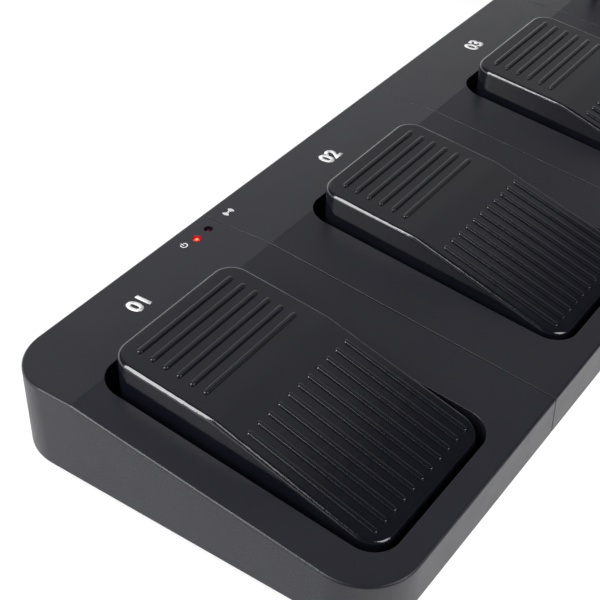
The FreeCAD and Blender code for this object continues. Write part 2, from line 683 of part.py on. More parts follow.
def return_spring(middle):
    """The coil spring between the well's floor and the pedal."""
    low = TUB_FLOOR_HEIGHT + SPRING_WIRE_R + SPRING_END_GAP
    high = TUB_FLOOR_HEIGHT + SPRING_LENGTH - SPRING_WIRE_R - SPRING_END_GAP
    quarters = [coil_point(middle, math.pi / 2 * step, low, high) for step in range(4 * SPRING_TURNS + 1)]
    edges = []
    for (start, start_way), (end, end_way) in zip(quarters, quarters[1:]):
        edges += [arc.toShape() for arc in biarc(start, start_way, end, end_way)]
    first, way = quarters[0]
    section = Part.Wire(Part.makeCircle(SPRING_WIRE_R, first, way))
    gap = (high - low) / SPRING_TURNS - 2 * SPRING_WIRE_R
    print("return spring: least gap between turns", round(gap, 2), "mm")
    return Part.Wire(edges).makePipeShell([section], True, False)


def bumpers():
    """The rubber bumpers that stop the pedals, two in each well."""
    rubber = []
    for index in range(PEDAL_COUNT):
        for x in (-BUMPER_X, BUMPER_X):
            pad = post(pedal_x(index) + x, BUMPER_BACK, TUB_FLOOR_HEIGHT,
                       TUB_FLOOR_HEIGHT + BUMPER_HEIGHT, BUMPER_R)
            rubber.append(pad.makeFillet(BUMPER_EDGE_R, rim_edges(pad)))
    return Part.makeCompound(rubber)


def push_switch(middle):
    """The body of one push switch, with the well that its button slides in."""
    half = SWITCH_SIZE / 2
    body = block(middle - half, middle + half, SWITCH_BACK - half, SWITCH_BACK + half,
                 SWITCH_BOARD_TOP, SWITCH_TOP)
    depth = BUTTON_DEPTH + lever(SWITCH_BACK) + 2 * BUTTON_CLEARANCE
    return body.cut(post(middle, SWITCH_BACK, SWITCH_TOP - depth, SWITCH_TOP, BUTTON_R + BUTTON_CLEARANCE))


def push_button(middle):
    """The sprung button that the pedal's finger presses."""
    stem = post(middle, SWITCH_BACK, SWITCH_TOP - BUTTON_DEPTH, BUTTON_TOP, BUTTON_R)
    return fuse_all(stem, [post(middle, SWITCH_BACK, BUTTON_TOP - BUTTON_HEAD, BUTTON_TOP, BUTTON_HEAD_R)])


def switch_board(middle):
    """The small circuit board under one switch, with its lead socket."""
    half = SWITCH_BOARD_LENGTH / 2
    board = block(middle - SWITCH_BOARD_HALF, middle + SWITCH_BOARD_HALF,
                  SWITCH_BACK - half, SWITCH_BACK + half, SWITCH_BOARD_TOP - BOARD_THICKNESS, SWITCH_BOARD_TOP)
    socket = block(middle + LEAD_X - PLUG_WIDTH / 2, middle + LEAD_X + PLUG_WIDTH / 2, SWITCH_BACK - half,
                   SWITCH_BACK - half + PLUG_DEPTH, SWITCH_BOARD_TOP, SWITCH_BOARD_TOP + SWITCH_PLUG_HEIGHT)
    holes = [post(x, back, 0, SWITCH_BOARD_TOP, SMALL_HOLE_R)
             for x, back in standoff_places(middle)[:2]]
    return fuse_all(board, [socket]).cut(holes)


def screw(x, back, seat, way, radius, head_radius, head_height, length):
    """A pan-head screw with a cross recess. Its head lies on the seat, and its shank goes the given way."""
    shank = post(x, back, min(seat, seat + way * length), max(seat, seat + way * length), radius)
    top = seat - way * head_height
    head = post(x, back, min(seat, top), max(seat, top), head_radius)
    level = place(x, back, top).z
    flat = [edge for edge in head.Edges if edge.Closed and abs(edge.Vertexes[0].Z - level) < TOUCH]
    head = head.makeFillet(head_height / 2, flat)
    deep = sorted((top, top + way * RECESS_DEPTH * head_height / SCREW_HEAD_HEIGHT))
    long = RECESS_LENGTH / 2 * head_radius / SCREW_HEAD_R
    wide = RECESS_WIDTH / 2 * head_radius / SCREW_HEAD_R
    cross = [block(x - long, x + long, back - wide, back + wide, deep[0], deep[1]),
             block(x - wide, x + wide, back - long, back + long, deep[0], deep[1])]
    return fuse_all(shank, [head]).cut(cross)


def cover_screws():
    """The screws that hold the covers to the base plate."""
    return Part.makeCompound([
        screw(x, back, PLATE_HEIGHT, 1, SCREW_R, SCREW_HEAD_R, SCREW_HEAD_HEIGHT, SCREW_LENGTH)
        for index in range(PEDAL_COUNT) for x, back in boss_places(index)])


def small_screw(x, back, seat, way):
    """One of the small screws that hold the boards and the battery bay."""
    return screw(x, back, seat, way, SMALL_SCREW_R, SMALL_HEAD_R, SMALL_HEAD_HEIGHT, SMALL_SCREW_LENGTH)


def switch_board_screws():
    """Two screws for each switch board."""
    return Part.makeCompound([
        small_screw(x, back, SWITCH_BOARD_TOP, -1)
        for index in range(PEDAL_COUNT) for x, back in standoff_places(pedal_x(index))[:2]])


def board_screws():
    """The screws that hold the main board up against its posts."""
    return Part.makeCompound([small_screw(x, back, BOARD_UNDER, 1) for x, back in board_posts()])


def bent_tube(points, radius, bend):
    """A round tube along straight runs that are joined by arcs."""
    start = points[0]
    edges = []
    for before, corner, after in zip(points, points[1:], points[2:]):
        back_way = (before - corner).normalize()
        on_way = (after - corner).normalize()
        half = back_way.getAngle(on_way) / 2
        cut = bend / math.tan(half)
        into, out = corner + back_way * cut, corner + on_way * cut
        centre_way = (back_way + on_way).normalize()
        middle = corner + centre_way * (bend / math.sin(half) - bend)
        edges.append(Part.LineSegment(start, into).toShape())
        edges.append(Part.Arc(into, middle, out).toShape())
        start = out
    edges.append(Part.LineSegment(start, points[-1]).toShape())
    section = Part.Wire(Part.makeCircle(radius, points[0], points[1] - points[0]))
    return Part.Wire(edges).makePipeShell([section], True, False)


def lane(number):
    """How far in front of the back edge one lead runs along the casing."""
    return LANE_FIRST - LANE_PITCH * number


def board_plugs():
    """The places of the lead sockets under the main board: one for each pedal, then the battery's."""
    plugs = [(pedal_x(0) + LEAD_X + BOARD_PLUG_PITCH * index, lane(index + (pedal_x(index) > BAY_X)))
             for index in range(PEDAL_COUNT)]
    return plugs + [(pedal_x(0) + BATTERY_PLUG_X, lane(PEDAL_COUNT - 1))]


def pedal_lead(index):
    """The lead from one switch board, along the channel behind the wells, up to the main board."""
    x = pedal_x(index) + LEAD_X
    plug_x, run = board_plugs()[index]
    socket = SWITCH_BACK - SWITCH_BOARD_LENGTH / 2
    high = SWITCH_BOARD_TOP + SWITCH_PLUG_HEIGHT / 2
    points = [place(x, socket, high), place(x, socket - 2 * LEAD_BEND_R, high),
              place(x, socket - 4 * LEAD_BEND_R, LEAD_HEIGHT), place(x, run, LEAD_HEIGHT)]
    if index:
        points.append(place(plug_x, run, LEAD_HEIGHT))
    points.append(place(plug_x, run, BOARD_UNDER - PLUG_HEIGHT))
    return bent_tube(points, LEAD_R, LEAD_BEND_R)


def main_board():
    """The main circuit board, with its chip on top and its lead sockets below."""
    left = pedal_x(0)
    board = block(left + BOARD_LEFT, left + BOARD_RIGHT, BOARD_BACK, BOARD_FRONT, BOARD_UNDER, BOARD_TOP)
    pieces = [block(left + CHIP_LEFT, left + CHIP_RIGHT, CHIP_BACK, CHIP_FRONT,
                    BOARD_TOP, BOARD_TOP + CHIP_RISE)]
    for x, back in board_plugs():
        pieces.append(block(x - PLUG_WIDTH / 2, x + PLUG_WIDTH / 2,
                            back - PLUG_DEPTH / 2, back + PLUG_DEPTH / 2,
                            BOARD_UNDER - PLUG_HEIGHT, BOARD_UNDER))
    holes = [post(x, back, BOARD_UNDER, BOARD_TOP, SMALL_HOLE_R) for x, back in board_posts()]
    return fuse_all(board, pieces).cut(holes)


def radio_module():
    """The small radio board, with its screening can, on two pin headers over the main board."""
    left = pedal_x(0)
    low = BOARD_TOP + RADIO_STAND
    board = block(left + RADIO_LEFT, left + RADIO_RIGHT, RADIO_BACK, RADIO_FRONT, low, low + RADIO_BOARD)
    can = block(left + RADIO_LEFT + RADIO_CAN_INSET, left + RADIO_RIGHT - 2 * RADIO_CAN_INSET,
                RADIO_BACK + RADIO_CAN_INSET, RADIO_FRONT - RADIO_CAN_INSET,
                low + RADIO_BOARD, low + RADIO_BOARD + RADIO_CAN)
    headers = [block(left + RADIO_LEFT, left + RADIO_RIGHT, back, back + HEADER_WIDTH, BOARD_TOP, low)
               for back in (RADIO_BACK, RADIO_FRONT - HEADER_WIDTH)]
    return fuse_all(board, [can] + headers)


def antenna_wire():
    """The straight wire antenna, soldered to the end of the radio board."""
    x = pedal_x(0) + RADIO_RIGHT
    height = BOARD_TOP + RADIO_STAND + RADIO_BOARD + ANTENNA_R
    return axle(x - RADIO_CAN_INSET, x + ANTENNA_LENGTH, ANTENNA_BACK, height, ANTENNA_R)


def lamp(x):
    """A round lamp with a domed end, a flange and two legs that stand on the main board."""
    x += pedal_x(0)
    top = CASE_HEIGHT - LAMP_RECESS
    foot = top - LAMP_BODY
    body = post(x, LAMP_BACK, foot, top - LAMP_R, LAMP_R)
    dome = Part.makeSphere(LAMP_R, place(x, LAMP_BACK, top - LAMP_R))
    flange = post(x, LAMP_BACK, foot, foot + LAMP_FLANGE, LAMP_FLANGE_R)
    legs = [post(x + side * LAMP_LEG_PITCH, LAMP_BACK, BOARD_TOP, foot + LAMP_FLANGE / 2, LAMP_LEG_R)
            for side in (-1, 1)]
    return fuse_all(body, [dome, flange] + legs)


def power_inlet():
    """The round low-voltage inlet, with its centre pin."""
    x = pedal_x(0) + INLET_X
    high = BOARD_UNDER
    axis = high - INLET_HEIGHT / 2
    lean = FACE_LEAN * axis / CASE_HEIGHT
    back = CASE_WALL + FACE_LEAN
    half = INLET_WIDTH / 2
    body = block(x - half, x + half, back, INLET_SETBACK + lean + INLET_LENGTH, high - INLET_HEIGHT, high)
    nose = barrel(x, INLET_SETBACK + lean, back + OVERLAP, axis, INLET_NOSE_R)
    bore = barrel(x, 0, INLET_SETBACK + lean + INLET_BORE_DEPTH, axis, INLET_BORE_R)
    pin = barrel(x, INLET_SETBACK + lean + INLET_PIN_SETBACK, back + INLET_BORE_DEPTH, axis, INLET_PIN_R)
    return fuse_all(fuse_all(body, [nose]).cut(bore), [pin])


def knob_box(spare):
    """The power switch's knob in its rest place, or with room round it."""
    x = pedal_x(0) + SLIDER_X + KNOB_TRAVEL / 2
    middle = BOARD_UNDER - SLIDER_HEIGHT / 2
    lean = FACE_LEAN * middle / CASE_HEIGHT
    back = CASE_WALL + FACE_LEAN + SLIDER_WALL + KNOB_HEIGHT / 2
    return block(x - KNOB_WIDTH / 2 - spare, x + KNOB_WIDTH / 2 + spare, KNOB_SETBACK + lean, back + spare,
                 middle - KNOB_HEIGHT / 2 - spare, middle + KNOB_HEIGHT / 2 + spare)


def power_switch():
    """The metal-cased slide switch behind the back wall, open where its knob runs."""
    x = pedal_x(0) + SLIDER_X
    back = CASE_WALL + FACE_LEAN
    body = block(x - SLIDER_WIDTH / 2, x + SLIDER_WIDTH / 2, back, back + SLIDER_DEPTH,
                 BOARD_UNDER - SLIDER_HEIGHT, BOARD_UNDER)
    run = knob_box(KNOB_CLEARANCE)
    far = run.copy()
    far.translate(FreeCAD.Vector(-KNOB_TRAVEL, 0, 0))
    middle = run.copy()
    middle.translate(FreeCAD.Vector(-KNOB_TRAVEL / 2, 0, 0))
    return body.cut(fuse_all(run, [middle, far]))


def switch_knob():
    """The knob of the power switch, with three finger grooves in its end."""
    knob = knob_box(0)
    end = knob.BoundBox.YMax
    centre = knob.BoundBox.Center
    cuts = [Part.makeCylinder(KNOB_GROOVE_R, 2 * KNOB_HEIGHT,
                              FreeCAD.Vector(centre.x + step * KNOB_GROOVE_PITCH, end, centre.z - KNOB_HEIGHT))
            for step in (-1, 0, 1)]
    return knob.cut(cuts)


def bay_boss_places():
    """The two posts inside the battery bay that take the door's screws."""
    return [(BAY_X, BAY_BACK + BAY_BOSS_REACH), (BAY_X, BAY_FRONT - BAY_BOSS_REACH)]


def bay_flange_places():
    """The two screws that hold the battery bay to the base plate."""
    x = BAY_HALF + BAY_WALL + BAY_FLANGE / 2
    middle = (BAY_BACK + BAY_FRONT) / 2
    return [(BAY_X + side * x, middle) for side in (-1, 1)]


def bay_block(grow, low, high):
    """The battery bay's inside, or that much more all round."""
    x = BAY_X
    return block(x - BAY_HALF - grow, x + BAY_HALF + grow, BAY_BACK - grow, BAY_FRONT + grow, low, high)


def battery_bay():
    """The box over the battery, open below, with a flange on the base plate."""
    top = PLATE_TOP + BAY_HEIGHT
    box = bay_block(BAY_WALL, PLATE_TOP, top + BAY_WALL)
    flange = bay_block(BAY_FLANGE + BAY_WALL, PLATE_TOP, PLATE_TOP + BAY_FLANGE_THICKNESS)
    shell = fuse_all(box, [flange]).cut(bay_block(0, PLATE_TOP, top))
    bosses = [post(x, back, PLATE_TOP, top + BAY_WALL / 2, BAY_BOSS_R) for x, back in bay_boss_places()]
    shell = fuse_all(shell, bosses)
    holes = [post(x, back, PLATE_TOP, PLATE_HEIGHT + 2 * SMALL_SCREW_LENGTH, SMALL_HOLE_R)
             for x, back in bay_boss_places()]
    holes += [post(x, back, PLATE_TOP, top, SMALL_HOLE_R) for x, back in bay_flange_places()]
    holes.append(barrel(BAY_X + SNAP_LEAD_X, BAY_BACK - 2 * BAY_WALL, BAY_BACK + BAY_WALL,
                        LEAD_HEIGHT, LEAD_HOLE_R))
    return shell.cut(holes)


def battery_span():
    """The two ends of the battery block, from the casing's back edge."""
    back = BAY_BACK + BAY_BOSS_REACH + BAY_BOSS_R + SNAP_THICKNESS + TERMINAL_LENGTH + BATTERY_GAP
    return back, back + BATTERY_LENGTH


def battery():
    """The nine-volt battery, with its two terminals towards the back."""
    x = BAY_X
    back, front = battery_span()
    body = block(x - BATTERY_HALF, x + BATTERY_HALF, back, front, PLATE_TOP + BATTERY_GAP,
                 PLATE_TOP + BATTERY_GAP + BATTERY_HEIGHT)
    body = body.makeFillet(BATTERY_EDGE_R, [edge for edge in body.Edges
                                            if abs(edge.tangentAt(edge.FirstParameter).y) > ALIGNED])
    middle = PLATE_TOP + BATTERY_GAP + BATTERY_HEIGHT / 2
    terminals = [barrel(x + side * TERMINAL_X, back - TERMINAL_LENGTH, back + OVERLAP, middle, TERMINAL_R)
                 for side in (-1, 1)]
    return fuse_all(body, terminals)


def battery_snap():
    """The plate that snaps on to the battery's terminals."""
    x = BAY_X
    front = battery_span()[0] - TERMINAL_LENGTH
    low = PLATE_TOP + BATTERY_GAP
    return block(x - SNAP_HALF, x + SNAP_HALF, front - SNAP_THICKNESS, front, low, low + SNAP_HEIGHT)


def battery_lead():
    """The lead from the battery snap to the main board."""
    x = BAY_X + SNAP_LEAD_X
    plug_x, run = board_plugs()[PEDAL_COUNT]
    start = battery_span()[0] - TERMINAL_LENGTH - SNAP_THICKNESS
    points = [place(x, start, LEAD_HEIGHT), place(x, run, LEAD_HEIGHT), place(plug_x, run, LEAD_HEIGHT),
              place(plug_x, run, BOARD_UNDER - PLUG_HEIGHT)]
    return bent_tube(points, LEAD_R, LEAD_BEND_R)


def battery_door():
    """The flush door in the base plate."""
    door = bay_block(-DOOR_CLEARANCE, PLATE_HEIGHT, PLATE_TOP)
    return door.cut([post(x, back, PLATE_HEIGHT, PLATE_TOP, SMALL_HOLE_R)
                     for x, back in bay_boss_places()])


def bay_screws():
    """The screws of the battery door and of the battery bay's flange, all put in from below."""
    return Part.makeCompound([
        small_screw(x, back, PLATE_HEIGHT, 1) for x, back in bay_boss_places() + bay_flange_places()])


def base_plate():
    """The steel plate that closes the casing from below."""
    inset = CASE_WALL + PLATE_CLEARANCE
    plate = Part.Face(casing_outline(PLATE_HEIGHT, inset)).extrude(FreeCAD.Vector(0, 0, PLATE_THICKNESS))
    holes = [post(x, back, PLATE_HEIGHT, PLATE_TOP, SCREW_R + PLATE_HOLE_SPARE)
             for index in range(PEDAL_COUNT) for x, back in boss_places(index)]
    holes += [post(x, back, PLATE_HEIGHT, PLATE_TOP, SMALL_SCREW_R + PLATE_HOLE_SPARE)
              for x, back in bay_flange_places()]
    return plate.cut(holes + [bay_block(0, PLATE_HEIGHT, PLATE_TOP)])


def feet(back):
    """One row of round rubber feet under the base plate, one below each pedal."""
    pads = []
    for index in range(PEDAL_COUNT):
        pad = post(pedal_x(index), back, -FOOT_HEIGHT, PLATE_HEIGHT, FOOT_R)
        sole = [edge for edge in pad.Edges if edge.Closed and edge.Vertexes[0].Z < FOOT_EDGE]
        pads.append(pad.makeChamfer(FOOT_EDGE, sole))
    return Part.makeCompound(pads)


def save(name, shape):
    """Writes one piece, after a look at its solids."""
    print(name, "solids", len(shape.Solids), "volume", round(shape.Volume), "valid", shape.isValid())
    shape.exportStep("parts/" + name + ".step")


def moved(shape, x):
    """A copy of a shape, moved along the row."""
    copy = shape.copy()
    copy.translate(FreeCAD.Vector(x, 0, 0))
    return copy


def cover_name(index):
    """The name of one cover."""
    if index == 0:
        return "left_end_cover"
    if index == PEDAL_COUNT - 1:
        return "right_end_cover"
    return "middle_cover_" + str(index)


def main():
    """Makes every piece and writes one file for each."""
    os.makedirs("parts", exist_ok=True)
    outer = casing_block(0, 0, 0)
    outer = outer.makeFillet(CASE_EDGE_R, [edge for edge, faces in upward_edges(outer)])
    inner = casing_block(CASE_WALL, CASE_WALL, -SPARE)
    treadle = pedal()
    for index in range(PEDAL_COUNT):
        number = str(index + 1)
        middle = pedal_x(index)
        save(cover_name(index), cover(index, outer, inner))
        save("pedal_" + number, moved(treadle, middle))
        save("hinge_pin_" + number, hinge_pin(middle))
        save("pin_clips_" + number, pin_clips(middle))
        save("return_spring_" + number, return_spring(middle))
        save("push_switch_" + number, push_switch(middle))
        save("push_button_" + number, push_button(middle))
        save("switch_board_" + number, switch_board(middle))
        save("pedal_lead_" + number, pedal_lead(index))
    save("base_plate", base_plate())
    save("rear_feet", feet(FOOT_BACK))
    save("front_feet", feet(FOOT_FRONT))
    save("stop_bumpers", bumpers())
    save("cover_screws", cover_screws())
    save("switch_board_screws", switch_board_screws())
    save("main_board", main_board())
    save("main_board_screws", board_screws())
    save("radio_module", radio_module())
    save("antenna_wire", antenna_wire())
    save("power_lamp", lamp(POWER_LAMP_X))
    save("transmit_lamp", lamp(SEND_LAMP_X))
    save("power_inlet", power_inlet())
    save("power_switch", power_switch())
    save("power_switch_knob", switch_knob())
    save("battery_bay", battery_bay())
    save("battery", battery())
    save("battery_snap", battery_snap())
    save("battery_lead", battery_lead())
    save("battery_door", battery_door())
    save("battery_bay_screws", bay_screws())


main()
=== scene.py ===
import json
import logging
import math
from dataclasses import dataclass
from enum import Enum
from typing import Any, Iterable

import bmesh
import bpy
from mathutils import Matrix, Vector


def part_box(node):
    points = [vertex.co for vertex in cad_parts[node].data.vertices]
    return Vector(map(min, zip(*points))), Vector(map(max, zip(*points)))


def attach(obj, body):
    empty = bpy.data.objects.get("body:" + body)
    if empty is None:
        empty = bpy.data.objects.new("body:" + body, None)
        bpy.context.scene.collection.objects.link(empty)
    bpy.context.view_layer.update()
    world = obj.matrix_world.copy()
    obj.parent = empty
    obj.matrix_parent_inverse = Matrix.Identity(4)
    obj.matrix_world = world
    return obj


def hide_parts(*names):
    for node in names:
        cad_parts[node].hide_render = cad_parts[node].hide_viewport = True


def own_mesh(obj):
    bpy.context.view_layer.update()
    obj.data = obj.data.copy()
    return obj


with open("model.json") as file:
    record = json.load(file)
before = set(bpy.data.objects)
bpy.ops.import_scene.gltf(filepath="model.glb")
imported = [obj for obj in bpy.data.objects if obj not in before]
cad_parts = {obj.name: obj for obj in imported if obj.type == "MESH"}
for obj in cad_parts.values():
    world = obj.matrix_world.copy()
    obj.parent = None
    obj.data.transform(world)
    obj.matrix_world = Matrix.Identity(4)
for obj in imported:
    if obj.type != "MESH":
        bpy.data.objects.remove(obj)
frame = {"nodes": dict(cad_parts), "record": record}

# A foot switch with four treadle pedals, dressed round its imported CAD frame. Metres, in the frame's own axes:
# X along the row of pedals, +Y to the back and +Z up from the floor.

LOG = logging.getLogger("foot_switch")
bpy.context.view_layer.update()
PEDAL_MIDDLES = (-0.21, -0.07, 0.07, 0.21)      # along the row
MERGE = 0.000001            # two corners closer than this are one
RIB_SIDES = 56              # corners round a rib
RIB_RINGS = 20              # rings of corners from one end of a rib to the other
RIB_STRAIGHT = 2            # the rings each side of the middle one that stay on the straight part
COIL_STEPS = 28             # straight runs in a turn of a spring
WIRE_SIDES = 10             # corners round its wire
LEVEL = (0.15, 0.5)         # between which Z of its normal a face goes from upright to level
GLOSS_PATCHES = 3           # how many patches of gloss lie along one patch of colour
DRAWN_STRETCH = (0.06, 1.0, 1.0)                # drawn metal's lines run along X

Colour = tuple[float, float, float]
Triple = tuple[float, float, float]
Span = tuple[float, float]


class Relief(Enum):
    """The fine relief that a finish has."""

    GRAINED = "grained"
    POLISHED = "polished"
    DRAWN = "drawn"


class NodeBuilder:
    """Adds nodes to a tree and joins them by the names of their sockets."""

    def __init__(self, tree: bpy.types.NodeTree) -> None:
        """Starts on a tree.

        Args:
            tree: the node tree that is built.
        """
        self.tree = tree

    def add(self, kind: str, inputs: dict[Any, Any] | None = None, **settings: Any) -> bpy.types.Node:
        """One node, with its inputs set or linked.

        Args:
            kind: Blender's name for the kind of node.
            inputs: a value or another node's output for each input socket, by name or number.
            settings: the node's own properties.

        Returns:
            The new node.
        """
        node = self.tree.nodes.new(kind)
        for name, value in settings.items():
            setattr(node, name, value)
        for key, value in (inputs or {}).items():
            socket = node.inputs[key]
            if isinstance(value, bpy.types.NodeSocket):
                self.tree.links.new(value, socket)
            else:
                socket.default_value = value
        return node


class ShaderBuilder(NodeBuilder):
    """A material under construction."""

    def __init__(self, name: str) -> None:
        """Starts on a new material.

        Args:
            name: the material's name.
        """
        self.material = bpy.data.materials.new(name)
        self.material.use_nodes = True
        super().__init__(self.material.node_tree)
        self.tree.nodes.clear()
        self.places = self.add("ShaderNodeTexCoord")

    def noise(self, size: float, detail: float = 3.0,
              stretch: Triple = (1.0, 1.0, 1.0)) -> bpy.types.NodeSocket:
        """Cloudy noise from 0 to 1 over the piece's own coordinates.

        Args:
            size: about how far apart two patches are, in metres.
            detail: how many finer layers lie over the first.
            stretch: the pattern's density along each axis.

        Returns:
            The output with the noise.
        """
        place = self.add("ShaderNodeMapping", {"Vector": self.places.outputs["Object"], "Scale": stretch})
        return self.add("ShaderNodeTexNoise", {"Vector": place.outputs[0], "Scale": 1 / size,
                                               "Detail": detail}).outputs["Fac"]

    def spread(self, source: bpy.types.NodeSocket, low: float, high: float, start: float = 0.3,
               end: float = 0.7) -> bpy.types.NodeSocket:
        """The source's middle range, stretched between two values.

        Args:
            source: the output that is read.
            low: the value at start.
            high: the value at end.
            start: the source's value that gives low.
            end: the source's value that gives high.

        Returns:
            The stretched output.
        """
        return self.add("ShaderNodeMapRange", {"Value": source, "From Min": start, "From Max": end,
                                               "To Min": low, "To Max": high}).outputs[0]

    def blend(self, share: bpy.types.NodeSocket, first: Any, second: Any) -> bpy.types.NodeSocket:
        """A colour between two others.

        Args:
            share: how much of the second there is.
            first: the first colour or output.
            second: the second colour or output.

        Returns:
            The output with the colour.
        """
        mix = self.add("ShaderNodeMix", data_type="RGBA")
        sockets = [s for s in mix.inputs if s.enabled]
        for socket, value in zip(sockets, (share, first, second)):
            if isinstance(value, bpy.types.NodeSocket):
                self.tree.links.new(value, socket)
            else:
                socket.default_value = (*value, 1.0)
        return next(s for s in mix.outputs if s.enabled)

    def finish(self, surface: bpy.types.NodeSocket) -> bpy.types.Material:
        """The finished material.

        Args:
            surface: the shader that the surface gets.

        Returns:
            The material.
        """
        self.add("ShaderNodeOutputMaterial", {"Surface": surface})
        return self.material


@dataclass(frozen=True)
class Finish:
    """What a surface is like: its colours, its gloss and its fine relief."""

    name: str
    colour: Colour
    shade: Colour
    patch: float                    # the size of the slow change of colour
    roughness: float
    spread: float                   # how much the roughness changes from place to place
    grain: float                    # the size of the relief's grains
    depth: float                    # the relief's depth
    relief: Relief = Relief.GRAINED
    metallic: float = 0.0
    level_share: float = 1.0        # how much of the relief's depth a level face has
    ior: float = 1.5

    def colouring(self, shader: ShaderBuilder) -> bpy.types.NodeSocket:
        """The colour with its slow, faint change from place to place.

        Args:
            shader: the material under construction.

        Returns:
            The output with the colour.
        """
        cloud = shader.spread(shader.noise(self.patch), 0.0, 1.0)
        return shader.blend(cloud, self.colour, self.shade)

    def bump(self, shader: ShaderBuilder, level: bpy.types.NodeSocket) -> bpy.types.NodeSocket:
        """The relief as a bent normal.

        Args:
            shader: the material under construction.
            level: 1 on level faces and 0 on upright ones.

        Returns:
            The output with the normal.
        """
        if self.relief is Relief.DRAWN:
            height = shader.noise(self.grain, 2.0, DRAWN_STRETCH)
        elif self.relief is Relief.POLISHED:
            height = shader.noise(self.grain, 1.0)
        else:
            cells = shader.add("ShaderNodeTexVoronoi", {"Vector": shader.places.outputs["Object"],
                                                        "Scale": 1 / self.grain}, feature="SMOOTH_F1")
            fine = shader.noise(self.grain, 2.0)
            height = shader.add("ShaderNodeMath", {0: cells.outputs["Distance"], 1: fine},
                                operation="ADD").outputs[0]
        strength = shader.spread(level, 1.0, self.level_share, 0.0, 1.0)
        return shader.add("ShaderNodeBump", {"Height": height, "Distance": self.depth,
                                             "Strength": strength}).outputs[0]

    def material(self) -> bpy.types.Material:
        """The finish as a material.

        Returns:
            The material.
        """
        shader = ShaderBuilder(self.name)
        facing = shader.add("ShaderNodeSeparateXYZ", {0: shader.places.outputs["Normal"]}).outputs["Z"]
        level = shader.spread(facing, 0.0, 1.0, *LEVEL)
        rough = shader.spread(shader.noise(self.patch / GLOSS_PATCHES), self.roughness - self.spread,
                              self.roughness + self.spread)
        surface = shader.add("ShaderNodeBsdfPrincipled", {
            "Base Color": self.colouring(shader), "Roughness": rough, "Metallic": self.metallic,
            "IOR": self.ior, "Normal": self.bump(shader, level)})
        return shader.finish(surface.outputs[0])


@dataclass(frozen=True)
class CircuitBoardFinish(Finish):
    """Solder mask with paler copper tracks under it."""

    track_pitch: float = 0.0024
    track_width: float = 0.12       # as a share of the pitch

    def colouring(self, shader: ShaderBuilder) -> bpy.types.NodeSocket:
        """Green mask over rows of tracks and pads.

        Args:
            shader: the material under construction.

        Returns:
            The output with the colour.
        """
        tracks = shader.add("ShaderNodeTexBrick", {
            "Vector": shader.places.outputs["Object"], "Scale": 1 / self.track_pitch,
            "Mortar Size": self.track_width,
            "Color1": (*self.colour, 1.0), "Color2": (*self.colour, 1.0), "Mortar": (*self.shade, 1.0)})
        return tracks.outputs["Color"]


@dataclass(frozen=True)
class LampFinish(Finish):
    """Tinted lamp plastic, lit from inside its dome."""

    middle: Vector | None = None    # the top of its dome
    radius: float = 0.0015
    core: Colour = (1.0, 0.034, 0.012)
    core_reach: Span = (0.15, 0.6)  # between which shares of the radius the core gives way
    glow: float = 0.0
    rim_glow: float = 0.70          # the share of the glow that the rim has
    rim_reach: Span = (0.3, 1.0)    # between which shares of the radius it falls to that

    def material(self) -> bpy.types.Material:
        """Coloured plastic that glows, palest over the middle of the dome.

        Returns:
            The material.
        """
        shader = ShaderBuilder(self.name)
        place = shader.add("ShaderNodeMapping", {
            "Vector": shader.places.outputs["Object"], "Location": -self.middle / self.radius,
            "Scale": (1 / self.radius,) * 3})
        flat = shader.add("ShaderNodeVectorMath", {0: place.outputs[0], 1: (1.0, 1.0, 0.0)},
                          operation="MULTIPLY")
        reach = shader.add("ShaderNodeVectorMath", {0: flat.outputs[0]}, operation="LENGTH").outputs["Value"]
        colour = shader.blend(shader.spread(reach, 1.0, 0.0, *self.core_reach), self.shade, self.core)
        strength = shader.spread(reach, 1.0, self.rim_glow, *self.rim_reach)
        lit = shader.add("ShaderNodeMath", {0: strength, 1: self.glow}, operation="MULTIPLY").outputs[0]
        surface = shader.add("ShaderNodeBsdfPrincipled", {
            "Base Color": self.colouring(shader),
            "Roughness": shader.spread(shader.noise(self.grain), self.roughness - self.spread,
                                       self.roughness + self.spread),
            "Emission Color": colour, "Emission Strength": lit})
        return shader.finish(surface.outputs[0])


CASE = Finish(
    "case_plastic", colour=(0.0090, 0.0094, 0.0150), shade=(0.0112, 0.0117, 0.0178), patch=0.030,
    roughness=0.36, spread=0.025, grain=0.00042, depth=0.00010, level_share=0.12, ior=1.44)
PEDAL = Finish(
    "pedal_plastic", colour=(0.0052, 0.0056, 0.0092), shade=(0.0066, 0.0070, 0.0112), patch=0.020,
    roughness=0.13, spread=0.015, grain=0.0040, depth=0.000025, relief=Relief.POLISHED, ior=1.58)
BLACK_STEEL = Finish(
    "black_steel", colour=(0.020, 0.020, 0.021), shade=(0.028, 0.028, 0.029), patch=0.012,
    roughness=0.55, spread=0.05, grain=0.0006, depth=0.00005)
BRIGHT_STEEL = Finish(
    "bright_steel", colour=(0.60, 0.60, 0.59), shade=(0.48, 0.48, 0.49), patch=0.003,
    roughness=0.28, spread=0.08, grain=0.0004, depth=0.00001, relief=Relief.DRAWN, metallic=1.0)
SPRING_STEEL = Finish(
    "spring_steel", colour=(0.38, 0.38, 0.40), shade=(0.26, 0.26, 0.28), patch=0.002,
    roughness=0.30, spread=0.08, grain=0.0003, depth=0.00001, relief=Relief.DRAWN, metallic=1.0)
RUBBER = Finish(
    "rubber", colour=(0.018, 0.018, 0.018), shade=(0.030, 0.029, 0.028), patch=0.006,
    roughness=0.78, spread=0.06, grain=0.0008, depth=0.00008)
MASK = CircuitBoardFinish(
    "circuit_board", colour=(0.010, 0.075, 0.030), shade=(0.020, 0.130, 0.050), patch=0.004,
    roughness=0.34, spread=0.05, grain=0.0009, depth=0.00002)
